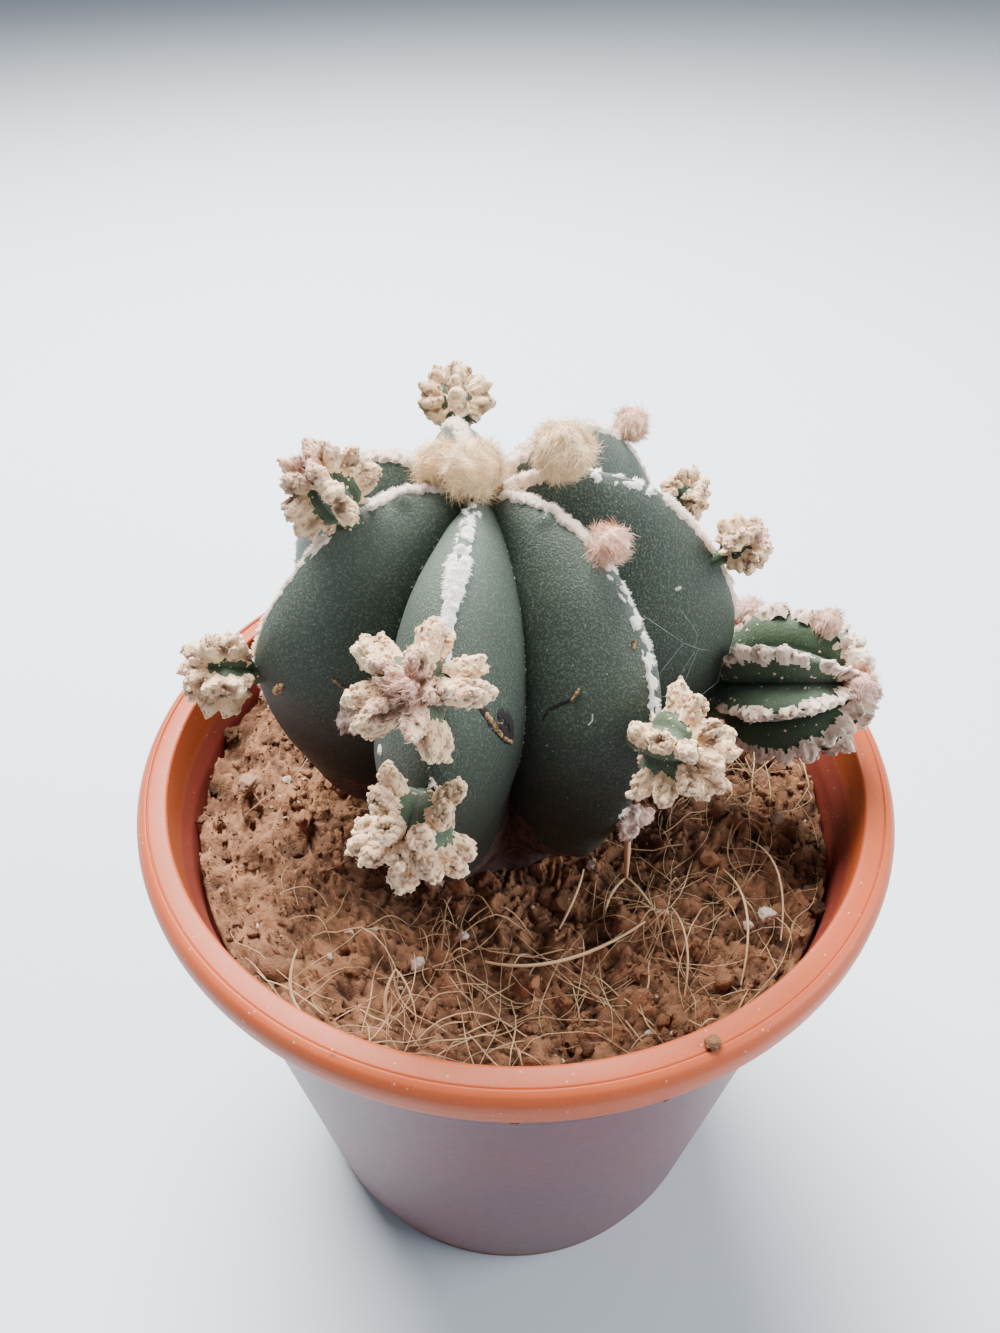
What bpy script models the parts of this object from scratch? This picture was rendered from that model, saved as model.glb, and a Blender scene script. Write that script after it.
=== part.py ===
"""Potted bishop's cap cactus: a seven-ribbed body with woolly side heads, in a round nursery pot.

Metres, +Z up. The origin is the middle of the pot's foot ring, on the surface that the pot stands on.
Run with: blender --background --python part.py
"""

import math
import random

import bmesh
import bpy
from mathutils import Matrix, Vector, noise

MM = 0.001
OBJECT_NAME = "potted_bishops_cap_cactus"
CUTTERS_NAME = "cutters"

# Pot
RIM_RADIUS = 50 * MM
RIM_LINE = 84 * MM  # height of the rim's widest circle
BASE_RADIUS = 35 * MM
COLLAR_RADIUS = 45.2 * MM
COLLAR_FOOT = 70.6 * MM
PLASTIC = 1.2 * MM
FLOOR_TOP = 3.4 * MM
POT_SIDES = 36
DRAIN_HOLES = 5
DRAIN_RADIUS = 3.2 * MM
DRAIN_CIRCLE = 20 * MM
DRAIN_DEPTH = 12 * MM  # of the cutters, which pass right through the floor

# Soil
SOIL_LEVEL = 74 * MM
SOIL_LUMP = 1.9 * MM
SOIL_SEED = 11
CRUMBS = 14
CRUMB_RADII = (1.2 * MM, 2.4 * MM)
FIBRES = 6
FIBRE_RADIUS = 0.4 * MM
FIBRE_LENGTHS = (13 * MM, 20 * MM)
FIBRE_POINTS = 7

# Clearance between pieces that touch
GAP = 0.3 * MM

# Cactus body, a polar form about its own centre: angles in degrees, down from the crown
BODY_CENTRE = Vector((-4, 2, 96)) * MM
BODY_ROWS = 20
STEPS_PER_RIB = 8
NOMINAL_REACH = 30.0
CREST_PROFILE = (
    (0, 28), (15, 30.2), (30, 30.8), (45, 30.5), (60, 30.2), (75, 29.6), (90, 28), (110, 26.6),
    (123, 26.6), (133, 25.4), (141, 25.6), (150, 28.5), (160, 32), (170, 38), (180, 42),
)
FURROW_SHARE = (
    (0, 1), (10, 0.9), (20, 0.8), (40, 0.68), (60, 0.62), (110, 0.62), (125, 0.7), (141, 0.9), (160, 1),
)
FLANK_ROUNDNESS = 1.5
FELT_HALF_WIDTH = 1.2 * MM
# Each rib: its crest's azimuth at the crown, the shoulder and the foot, and its reach in millimetres
RIBS = (
    ((4, 4, 4), 33.0),
    ((45, 45, 45), 34.6),
    ((103, 103, 103), 32.5),
    ((148, 148, 148), 31.5),
    ((185, 195, 188), 30.0),
    ((260, 260, 260), 29.8),
    ((333, 319.5, 305), 29.5),
)
RIB_ANGLES = (0, 48, 96)  # where those three azimuths are given

# Felt along the crests
FELT_THICKNESS = 1.0 * MM
FELT_TOP = 8  # degrees from the crown
FELT_FOOTS = (112, 112, 105, 105, 118, 112, 98)

# Side heads: rib, azimuth, angle from the crown, distance from the body's centre, diameter (mm), knob size
HEADS = (
    (2, 99, 43, 36.8, 9.7, 1.0),
    (4, 194, 29, 34.8, 10.6, 1.0),
    (4, 194, 76, 32.8, 10.0, 1.0),
    (5, 258, 51, 35.6, 12.2, 1.3),
    (5, 258.5, 75.5, 34.2, 12.1, 1.1),
    (6, 310, 70, 33.6, 11.9, 1.0),
    (0, 2, 57, 36.4, 6.7, 1.0),
    (1, 40, 69, 38.6, 6.6, 1.0),
)
HEAD_RIBS = 5
HEAD_FURROW = 0.72  # how far out the furrows of a head reach, as a share of its crests
COAT_SHARE = 1.41  # a head's whole diameter over that of its green core
STALK_SHARE = 0.38  # a stalk's radius, as a share of its core's
STALK_LENGTH = 8 * MM  # beyond the core, into the body
TUFT_SHARE = 0.37  # a knob of wool's radius, as a share of its core's
CROWN_TUFT = 1.35  # the crown's knob, over the others
TUFT_ROWS = 3
TUFT_STEP = 33  # degrees from one row of knobs to the next
HEAD_SEED = 100

BALL_TUFTS = 9
CROWN_BALL_SEED = 20
RIB_BALL_SEED = 30
KEPT_SHARE = 0.38  # of the triangles of fused wool

# Woolly balls: azimuth, angle from the crown, distance from the body's centre, diameter (mm)
CROWN_BALLS = ((240, 3, 31.6, 6.8), (165, 9.5, 31.2, 5.2))
RIB_BALLS = ((0, -3, 15, 34.6, 6.8), (1, 45, 45, 37.6, 4.4), (6, 322, 31.5, 32.7, 4.4))

# Large side head on the first rib's foot
LARGE_HEAD_CENTRE = Vector((35.5, 1, 96)) * MM
LARGE_HEAD_AXIS = Vector((0.75, -0.49, 0.44))
LARGE_HEAD_RADIUS = 9.8 * MM
LARGE_HEAD_RIBS = 8
LARGE_HEAD_FURROW = 0.62
LARGE_HEAD_ROLL = 0.2  # radians about its axis
LARGE_TUFT_RADII = (1.8 * MM, 2.05 * MM)
LARGE_CROWN_TUFT = 2.4 * MM
LARGE_TUFT_ROWS = 6
LARGE_TUFT_STEP = 17
LARGE_HEAD_SEED = 7
# Its three single woolly balls: direction from its centre, radius (mm)
LARGE_HEAD_BALLS = (
    ((-0.43, 0.68, 0.58), 1.9),
    ((0.29, 0.0, 0.96), 1.8),
    ((0.62, -0.60, 0.50), 1.9),
)

# Dried buds low on the body: name, azimuth, angle from the crown, distance from the centre, radius (mm)
BUDS = (("shrivelled_bud", 309, 97, 27.6, 2.1), ("side_bud", 222, 74, 21.8, 1.8))


# Scene and materials

def clear_scene():
    for item in list(bpy.data.objects):
        bpy.data.objects.remove(item, do_unlink=True)


def make_collection(name):
    collection = bpy.data.collections.new(name)
    bpy.context.scene.collection.children.link(collection)
    return collection


def make_material(name, colour, roughness):
    material = bpy.data.materials.new(name)
    material.use_nodes = True
    shader = material.node_tree.nodes["Principled BSDF"]
    shader.inputs["Base Color"].default_value = (*colour, 1.0)
    shader.inputs["Roughness"].default_value = roughness
    shader.inputs["Metallic"].default_value = 0.0
    material.diffuse_color = (*colour, 1.0)
    return material


def object_from_bmesh(name, bm, collection):
    bmesh.ops.recalc_face_normals(bm, faces=bm.faces)
    mesh = bpy.data.meshes.new(name)
    bm.to_mesh(mesh)
    bm.free()
    item = bpy.data.objects.new(name, mesh)
    collection.objects.link(item)
    return item


def finish_piece(item, material, collection):
    """Give a finished piece its material and place, and shade its rounded faces smooth."""
    item.data.materials.clear()
    item.data.materials.append(material)
    item.data.shade_smooth()
    item.data.set_sharp_from_angle(angle=math.radians(50))
    for owner in list(item.users_collection):
        owner.objects.unlink(item)
    collection.objects.link(item)
    return item


# Joining and cutting

def apply_modifiers(item):
    bpy.context.view_layer.update()
    graph = bpy.context.evaluated_depsgraph_get()
    applied = bpy.data.meshes.new_from_object(item.evaluated_get(graph))
    item.modifiers.clear()
    old = item.data
    item.data = applied
    bpy.data.meshes.remove(old)


def cut(item, cutter, solver="EXACT"):
    tool = item.modifiers.new("cut", "BOOLEAN")
    tool.operation = "DIFFERENCE"
    tool.object = cutter
    tool.solver = solver
    apply_modifiers(item)


def fuse(pieces, collection):
    """Join overlapping closed pieces in one solid."""
    first, rest = pieces[0], pieces[1:]
    group = bpy.data.collections.new("fused")
    collection.children.link(group)
    for piece in rest:
        collection.objects.unlink(piece)
        group.objects.link(piece)
    tool = first.modifiers.new("fuse", "BOOLEAN")
    tool.operation = "UNION"
    tool.operand_type = "COLLECTION"
    tool.collection = group
    apply_modifiers(first)
    for piece in rest:
        bpy.data.objects.remove(piece, do_unlink=True)
    bpy.data.collections.remove(group)
    return first


def thin_out(item, share):
    """Collapse the short edges that fusing leaves, down to a share of the triangles."""
    tool = item.modifiers.new("thin out", "DECIMATE")
    tool.ratio = share
    tool.use_collapse_triangulate = True
    apply_modifiers(item)


def shell_volume(faces):
    """Signed volume inside a closed set of faces."""
    total = 0.0
    for face in faces:
        corners = [vert.co for vert in face.verts]
        for second, third in zip(corners[1:], corners[2:]):
            total += corners[0].dot(second.cross(third)) / 6
    return total


def keep_main_shell(item):
    """Drop loose scraps and sealed hollows."""
    bm = bmesh.new()
    bm.from_mesh(item.data)
    bmesh.ops.triangulate(bm, faces=bm.faces)
    unseen = set(bm.faces)
    shells = []
    while unseen:
        edge_of_shell = [unseen.pop()]
        shell = list(edge_of_shell)
        while edge_of_shell:
            near = {other for edge in edge_of_shell.pop().edges for other in edge.link_faces}
            fresh = near & unseen
            unseen -= fresh
            edge_of_shell.extend(fresh)
            shell.extend(fresh)
        shells.append(shell)
    shells.sort(key=shell_volume)
    scraps = [face for shell in shells[:-1] for face in shell]
    bmesh.ops.delete(bm, geom=scraps, context="FACES")
    bm.to_mesh(item.data)
    bm.free()


def enlarge(bm, distance):
    """Move every face outwards by a distance."""
    bm.normal_update()
    moves = [vert.normal * distance * min(vert.calc_shell_factor(), 2.0) for vert in bm.verts]
    for vert, move in zip(bm.verts, moves):
        vert.co += move


def enlarged_cutter(item, cutters):
    """A copy of a piece, larger all round by a little more than the clearance."""
    bm = bmesh.new()
    bm.from_mesh(item.data)
    enlarge(bm, GAP * 1.15)
    cutter = object_from_bmesh(item.name + "_clearance", bm, cutters)
    cutter.hide_render = True
    cutter.display_type = "WIRE"
    return cutter


# Curves and directions

def smooth_curve(points, x):
    """Value at x of a smooth curve through (x, y) points, level past its ends."""
    last = len(points) - 1
    if x <= points[0][0]:
        return points[0][1]
    if x >= points[last][0]:
        return points[last][1]

    def slope(i):
        before, after = points[max(i - 1, 0)], points[min(i + 1, last)]
        return (after[1] - before[1]) / (after[0] - before[0])

    at = next(i for i in range(last) if x < points[i + 1][0])
    (x0, y0), (x1, y1) = points[at], points[at + 1]
    u = (x - x0) / (x1 - x0)
    rise = y0 + (y1 - y0) * (3 * u**2 - 2 * u**3)
    return rise + (x1 - x0) * (slope(at) * (u**3 - 2 * u**2 + u) + slope(at + 1) * (u**3 - u**2))


def direction(azimuth, angle):
    """Unit vector at an azimuth about +Z and an angle down from +Z, in degrees."""
    turn, tilt = math.radians(azimuth), math.radians(angle)
    return Vector((math.cos(turn) * math.sin(tilt), math.sin(turn) * math.sin(tilt), math.cos(tilt)))


def from_body_centre(azimuth, angle, reach):
    return BODY_CENTRE + direction(azimuth, angle) * reach * MM


# Pot

def pot_profile():
    """Radius and height from the middle of the inner floor, up, over the rim, down and under."""
    inner_base = BASE_RADIUS - PLASTIC
    inner_collar = COLLAR_RADIUS - PLASTIC
    return (
        (0, FLOOR_TOP),
        (inner_base - 1.5 * MM, FLOOR_TOP),
        (inner_base, FLOOR_TOP + 1.2 * MM),
        (inner_collar - PLASTIC, COLLAR_FOOT - 0.4 * MM),
        (inner_collar, COLLAR_FOOT + 0.8 * MM),
        (inner_collar + 0.3 * MM, RIM_LINE - 6.5 * MM),
        (inner_collar + 1.4 * MM, RIM_LINE - 3.5 * MM),
        (inner_collar + 1.8 * MM, RIM_LINE + 2.2 * MM),
        (RIM_RADIUS - 1.4 * MM, RIM_LINE + 2.0 * MM),
        (RIM_RADIUS - 0.4 * MM, RIM_LINE + 1.2 * MM),
        (RIM_RADIUS, RIM_LINE),
        (RIM_RADIUS - 0.3 * MM, RIM_LINE - 3.2 * MM),
        (RIM_RADIUS - 1.5 * MM, RIM_LINE - 3.2 * MM),
        (RIM_RADIUS - 1.7 * MM, RIM_LINE + 0.2 * MM),
        (COLLAR_RADIUS + 1.7 * MM, RIM_LINE + 0.2 * MM),
        (COLLAR_RADIUS + 1.5 * MM, RIM_LINE - 3.4 * MM),
        (COLLAR_RADIUS + 0.2 * MM, RIM_LINE - 6.4 * MM),
        (COLLAR_RADIUS, COLLAR_FOOT),
        (COLLAR_RADIUS - PLASTIC, COLLAR_FOOT - 1.4 * MM),
        (BASE_RADIUS + 0.2 * MM, 4 * MM),
        (BASE_RADIUS - 0.6 * MM, 2.6 * MM),
        (BASE_RADIUS - 0.8 * MM, 0),
        (BASE_RADIUS - 4.8 * MM, 0),
        (BASE_RADIUS - 5.0 * MM, 1.8 * MM),
        (0, 1.8 * MM),
    )


def turned(name, profile, sides, collection):
    """A solid turned about Z from a profile of (radius, height) points."""
    mesh = bpy.data.meshes.new(name)
    edges = [(i, i + 1) for i in range(len(profile) - 1)]
    mesh.from_pydata([(radius, 0, height) for radius, height in profile], edges, [])
    item = bpy.data.objects.new(name, mesh)
    collection.objects.link(item)
    tool = item.modifiers.new("turn", "SCREW")
    tool.steps = sides
    tool.render_steps = sides
    tool.use_merge_vertices = True
    tool.merge_threshold = 0.00001
    apply_modifiers(item)
    return item


def make_pot(parts, cutters):
    pot = turned("pot", pot_profile(), POT_SIDES, parts)
    holes = []
    for number in range(DRAIN_HOLES):
        centre = direction(360 * number / DRAIN_HOLES, 90) * DRAIN_CIRCLE
        bm = bmesh.new()
        bmesh.ops.create_cone(
            bm, cap_ends=True, segments=10, radius1=DRAIN_RADIUS, radius2=DRAIN_RADIUS, depth=DRAIN_DEPTH
        )
        bmesh.ops.translate(bm, verts=bm.verts, vec=centre)
        holes.append(object_from_bmesh(f"drain_{number + 1}", bm, cutters))
    for hole in holes:
        cut(pot, hole)
        hole.hide_render = True
        hole.display_type = "WIRE"
    return finish_piece(pot, make_material("terracotta_plastic", (0.62, 0.19, 0.07), 0.38), parts)


# Soil

def soil_height(x, y):
    """Height of the soil's uneven top, heaped a little towards the back left of the pot."""
    place = Vector((x, y, 0)) / MM
    coarse = noise.noise(place / 9)
    fine = noise.noise(place / 3.7 + Vector((7, 3, 1)))
    heap = max(0.0, -x * 0.8 + y * 0.3 - 16 * MM) * 0.14
    return SOIL_LEVEL + SOIL_LUMP * (coarse + 0.7 * fine) + heap


def soil_profile():
    wall = PLASTIC + GAP * 1.4
    inner_base = BASE_RADIUS - wall
    inner_collar = COLLAR_RADIUS - wall
    return (
        (0, SOIL_LEVEL), (13 * MM, SOIL_LEVEL), (19 * MM, SOIL_LEVEL), (24 * MM, SOIL_LEVEL),
        (29 * MM, SOIL_LEVEL), (34 * MM, SOIL_LEVEL), (39 * MM, SOIL_LEVEL),
        (inner_collar, SOIL_LEVEL), (inner_collar, COLLAR_FOOT + 1.0 * MM),
        (inner_collar - PLASTIC, COLLAR_FOOT - 0.4 * MM), (inner_base, FLOOR_TOP + 1.5 * MM),
        (inner_base - 1.5 * MM, FLOOR_TOP + GAP), (0, FLOOR_TOP + GAP),
    )


def make_crumb(number, chance, parts):
    bearing, distance = chance.uniform(0, 360), chance.uniform(22, 40) * MM
    centre = direction(bearing, 90) * distance
    size = chance.uniform(*CRUMB_RADII)
    bm = bmesh.new()
    bmesh.ops.create_icosphere(bm, subdivisions=1, radius=size)
    bmesh.ops.scale(bm, verts=bm.verts, vec=(1.3, 1.0, 0.8))
    bmesh.ops.rotate(bm, verts=bm.verts, matrix=Matrix.Rotation(chance.uniform(0, math.tau), 3, "Z"))
    centre.z = soil_height(centre.x, centre.y) + 0.1 * size
    bmesh.ops.translate(bm, verts=bm.verts, vec=centre)
    return object_from_bmesh(f"crumb_{number}", bm, parts)


def make_fibre(number, chance, parts):
    """A curved coir fibre that lies on the soil, with its ends sunk in it."""
    length = chance.uniform(*FIBRE_LENGTHS)
    middle = direction(chance.uniform(215, 350), 90) * chance.uniform(25, 31) * MM
    heading, bend = chance.uniform(0, math.tau), chance.uniform(-1.2, 1.2)
    curve = bpy.data.curves.new(f"fibre_{number}", "CURVE")
    curve.dimensions = "3D"
    curve.bevel_depth = FIBRE_RADIUS
    curve.bevel_resolution = 0
    curve.use_fill_caps = True
    spline = curve.splines.new("POLY")
    spline.points.add(FIBRE_POINTS - 1)
    for place, point in enumerate(spline.points):
        along = place / (FIBRE_POINTS - 1) - 0.5
        turn = heading + bend * along
        x = middle.x + math.cos(turn) * along * length
        y = middle.y + math.sin(turn) * along * length
        lift = (0.5 - 9.6 * along**2) * MM
        point.co = (x, y, soil_height(x, y) + lift, 1)
    source = bpy.data.objects.new(f"fibre_{number}", curve)
    parts.objects.link(source)
    bpy.context.view_layer.update()
    graph = bpy.context.evaluated_depsgraph_get()
    bm = bmesh.new()
    bm.from_mesh(bpy.data.meshes.new_from_object(source.evaluated_get(graph)))
    bpy.data.objects.remove(source, do_unlink=True)
    bmesh.ops.remove_doubles(bm, verts=bm.verts, dist=0.01 * MM)
    return object_from_bmesh(f"fibre_{number}", bm, parts)


def make_soil(body_cutter, parts):
    chance = random.Random(SOIL_SEED)
    soil = turned("soil", soil_profile(), POT_SIDES, parts)
    bm = bmesh.new()
    bm.from_mesh(soil.data)
    for vert in bm.verts:
        if vert.co.z > SOIL_LEVEL - 0.1 * MM:
            vert.co.z = soil_height(vert.co.x, vert.co.y)
    bm.to_mesh(soil.data)
    bm.free()
    crumbs = [make_crumb(number, chance, parts) for number in range(CRUMBS)]
    fibres = [make_fibre(number, chance, parts) for number in range(FIBRES)]
    fuse([soil] + crumbs + fibres, parts)
    cut(soil, body_cutter)
    keep_main_shell(soil)
    return finish_piece(soil, make_material("peat_and_coir", (0.16, 0.085, 0.045), 0.95), parts)


# Cactus body

def crest_azimuth(rib, angle):
    azimuths = RIBS[rib % len(RIBS)][0]
    return smooth_curve(tuple(zip(RIB_ANGLES, azimuths)), angle) + 360 * (rib // len(RIBS))


def crest_reach(rib, angle):
    """Distance of a rib's crest from the body's centre, the same for all at the crown and the root."""
    profile = smooth_curve(CREST_PROFILE, angle)
    share = RIBS[rib % len(RIBS)][1] / NOMINAL_REACH
    grown = smooth_curve(((0, 0), (40, 1), (125, 1), (155, 0)), angle)
    return profile * (1 + (share - 1) * grown) * MM


def felt_half_width(angle):
    return FELT_HALF_WIDTH * smooth_curve(((0, 1.1), (60, 1), (120, 0.75)), angle)


def body_point(rib, step, angle):
    """Point on the body's surface, a number of steps from a rib's crest towards its neighbour."""
    half = STEPS_PER_RIB // 2
    crest = crest_azimuth(rib, angle)
    side = 1 if step >= 0 else -1
    furrow_turn = (crest_azimuth(rib + side, angle) - crest) / 2
    from_axis = crest_reach(rib, angle) * math.sin(math.radians(angle))
    first = felt_half_width(angle) / max(from_axis * math.radians(abs(furrow_turn)), 1 * MM)
    first = min(first, 1 / half)
    part = 0 if step == 0 else first + (1 - first) * (abs(step) - 1) / (half - 1)
    furrow = (crest_reach(rib, angle) + crest_reach(rib + side, angle)) / 2
    furrow *= smooth_curve(FURROW_SHARE, angle)
    crest_share = 1 - part**FLANK_ROUNDNESS
    ray = direction(crest + part * furrow_turn, angle)
    reach = furrow + (crest_reach(rib, angle) - furrow) * crest_share
    return BODY_CENTRE + ray * (reach + 0.35 * MM * noise.noise(ray * 3.1))


def body_surface():
    """The ribbed surface, from a sphere whose columns follow the crests and furrows."""
    columns = STEPS_PER_RIB * len(RIBS)
    half = STEPS_PER_RIB // 2
    bm = bmesh.new()
    bmesh.ops.create_uvsphere(bm, u_segments=columns, v_segments=BODY_ROWS, radius=1)
    rib_of = bm.verts.layers.int.new("rib")
    step_of = bm.verts.layers.int.new("step")
    row_of = bm.verts.layers.int.new("row")
    for vert in bm.verts:
        angle = math.degrees(math.acos(max(-1, min(1, vert.co.z))))
        column = round(math.degrees(math.atan2(vert.co.y, vert.co.x)) / 360 * columns)
        rib, step = divmod((column + half - 1) % columns, STEPS_PER_RIB)
        vert[rib_of], vert[step_of] = rib, step - half + 1
        vert[row_of] = round(angle / 180 * BODY_ROWS)
        vert.co = body_point(rib, step - half + 1, angle)
    bmesh.ops.triangulate(bm, faces=bm.faces, quad_method="FIXED")
    bmesh.ops.recalc_face_normals(bm, faces=bm.faces)
    return bm


def make_body(parts):
    body = object_from_bmesh("cactus_body", body_surface(), parts)
    return finish_piece(body, make_material("grey_green_skin", (0.075, 0.13, 0.085), 0.72), parts)


# Felt

def make_felt(rib, foot_angle, material, parts):
    """A raised strip of wool that rides on one rib's crest."""
    bm = body_surface()
    rib_of, step_of, row_of = (bm.verts.layers.int[name] for name in ("rib", "step", "row"))
    top_row = math.ceil(FELT_TOP / 180 * BODY_ROWS)
    foot_row = round(foot_angle / 180 * BODY_ROWS)
    enlarge(bm, GAP)
    normals = {vert: vert.normal.copy() for vert in bm.verts}

    def on_strip(face):
        return all(
            vert[rib_of] == rib and abs(vert[step_of]) <= 1 and top_row <= vert[row_of] <= foot_row
            for vert in face.verts
        )

    spare = [face for face in bm.faces if not on_strip(face)]
    bmesh.ops.delete(bm, geom=spare, context="FACES")
    below_at = {tuple(vert.co): vert for vert in bm.verts}
    made = bmesh.ops.extrude_face_region(bm, geom=list(bm.faces), use_keep_orig=True)
    outer = [item for item in made["geom"] if isinstance(item, bmesh.types.BMVert)]
    for vert in outer:
        below = below_at[tuple(vert.co)]
        middle = 1.0 if below[step_of] == 0 else 0.55
        tip = 0.6 if below[row_of] in (top_row, foot_row) else 1.0
        lump = 1 + 0.35 * noise.noise(below.co / MM / 1.7)
        vert.co += normals[below] * FELT_THICKNESS * middle * tip * lump
    strip = object_from_bmesh(f"rib_felt_{rib + 1}", bm, parts)
    return finish_piece(strip, material, parts)


# Woolly balls and side heads

def make_tuft(centre, radius, collection, subdivisions=1, turn=0.0):
    bm = bmesh.new()
    bmesh.ops.create_icosphere(bm, subdivisions=subdivisions, radius=radius)
    bmesh.ops.rotate(bm, verts=bm.verts, matrix=Matrix.Rotation(turn, 3, Vector((1, 2, 3)).normalized()))
    bmesh.ops.translate(bm, verts=bm.verts, vec=centre)
    return object_from_bmesh("tuft", bm, collection)


def clear_of(item, neighbours):
    """Cut back a piece where it reaches within the clearance of its neighbours.

    Fused tufts cross themselves in places, which the EXACT solver doesn't always survive.
    """
    for cutter in neighbours:
        if boxes_meet(item, cutter):
            cut(item, cutter, "MANIFOLD")
    keep_main_shell(item)


def boxes_meet(first, second):
    def span(item, axis):
        values = [vert.co[axis] for vert in item.data.vertices]
        return min(values), max(values)

    for axis in range(3):
        (low, high), (other_low, other_high) = span(first, axis), span(second, axis)
        if high < other_low or other_high < low:
            return False
    return True


def ball_cutter(name, centre, radius, cutters):
    """A plain ball that keeps its neighbours clear of a round piece."""
    flatness = 1.05  # a ball of 80 faces lies this much inside its corners
    cutter = make_tuft(centre, (radius + GAP * 1.2) * flatness, cutters, subdivisions=2)
    cutter.name = name
    cutter.hide_render = True
    cutter.display_type = "WIRE"
    return cutter


def make_wool_ball(name, centre, radius, seed, parts, neighbours, material):
    """A rounded ball of wool with an uneven, tufted surface."""
    chance = random.Random(seed)
    pieces = [make_tuft(centre, radius * 0.86, parts, subdivisions=2)]
    for number in range(BALL_TUFTS):
        height = 1 - 2 * (number + 0.5) / BALL_TUFTS
        ray = direction(number * 137.5 + chance.uniform(-15, 15), math.degrees(math.acos(height)))
        size = radius * chance.uniform(0.3, 0.42)
        tuft_centre = centre + ray * (radius - size)
        pieces.append(make_tuft(tuft_centre, size * 1.1, parts, turn=chance.uniform(0, 6)))
    ball = fuse(pieces, parts)
    thin_out(ball, KEPT_SHARE)
    clear_of(ball, neighbours)
    ball.name = name
    return finish_piece(ball, material, parts)


def upright_on(ray, roll):
    """Rotation that takes +Z to a ray, after a roll about it."""
    return (ray.to_track_quat("Z", "Y").to_matrix() @ Matrix.Rotation(roll, 3, "Z")).to_4x4()


def ribbed_ball(name, radius, ribs, steps, rows, furrow, stalk, collection):
    """A small ribbed head about the origin, its crown at +Z and its stalk down -Z."""
    columns = ribs * steps
    bm = bmesh.new()
    bmesh.ops.create_uvsphere(bm, u_segments=columns, v_segments=rows, radius=1)
    stalk_radius, stalk_length = stalk
    for vert in bm.verts:
        angle = math.degrees(math.acos(max(-1, min(1, vert.co.z))))
        azimuth = math.degrees(math.atan2(vert.co.y, vert.co.x))
        part = 1 - abs((azimuth * ribs / 360) % 1 - 0.5) * 2  # 1 on a crest, 0 in a furrow
        depth = (1 - furrow) * (1 - part) ** 1.4 * math.sin(math.radians(angle)) ** 0.7
        reach = radius * (1 - depth)
        if angle > 95:
            reach = max(reach, min(stalk_length, stalk_radius / max(math.sin(math.radians(angle)), 0.01)))
        vert.co = vert.co.normalized() * reach
    return object_from_bmesh(name, bm, collection)


def head_tufts(radius, knob, chance, parts):
    """Knobs of wool along a head's ribs, which meet in one at its crown."""
    size = radius * TUFT_SHARE
    tufts = [make_tuft(Vector((0, 0, radius)), size * CROWN_TUFT, parts)]
    for rib in range(HEAD_RIBS):
        crest = (rib + 0.5) * 360 / HEAD_RIBS
        for row in range(1, TUFT_ROWS + 1):
            ray = direction(crest + chance.uniform(-4, 4), TUFT_STEP * row)
            proud = 1.06 + 0.06 * (knob - 1) * row
            tuft_size = size * chance.uniform(0.95, 1.15) * (1 + 0.4 * (knob - 1))
            tufts.append(make_tuft(ray * radius * proud, tuft_size, parts, turn=chance.uniform(0, 6)))
    return tufts


def make_head(number, head, parts, neighbours, skin, wool):
    """A side head: a green ribbed core on a short stalk, and its coat of woolly knobs."""
    rib, azimuth, angle, reach, diameter, knob = head
    chance = random.Random(HEAD_SEED + number)
    ray = direction(azimuth, angle)
    centre = from_body_centre(azimuth, angle, reach)
    place = Matrix.Translation(centre) @ upright_on(ray, chance.uniform(0, 6))
    core_radius = diameter / 2 * MM / COAT_SHARE
    stalk = (core_radius * STALK_SHARE, core_radius + STALK_LENGTH)
    core = ribbed_ball(f"offset_{number}_body", core_radius, HEAD_RIBS, 4, 6, HEAD_FURROW, stalk, parts)
    core.data.transform(place)
    cutters = bpy.data.collections[CUTTERS_NAME]
    core_cutter = ball_cutter(f"{core.name}_clearance", centre, core_radius, cutters)
    coat = fuse(head_tufts(core_radius, knob, chance, parts), parts)
    thin_out(coat, KEPT_SHARE)
    coat.data.transform(place)
    clear_of(core, neighbours)
    clear_of(coat, [core_cutter] + neighbours)
    coat.name = f"offset_{number}_wool"
    finish_piece(core, skin, parts)
    finish_piece(coat, wool, parts)


# Large side head

def large_head_place():
    return Matrix.Translation(LARGE_HEAD_CENTRE) @ upright_on(LARGE_HEAD_AXIS.normalized(), LARGE_HEAD_ROLL)


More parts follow.
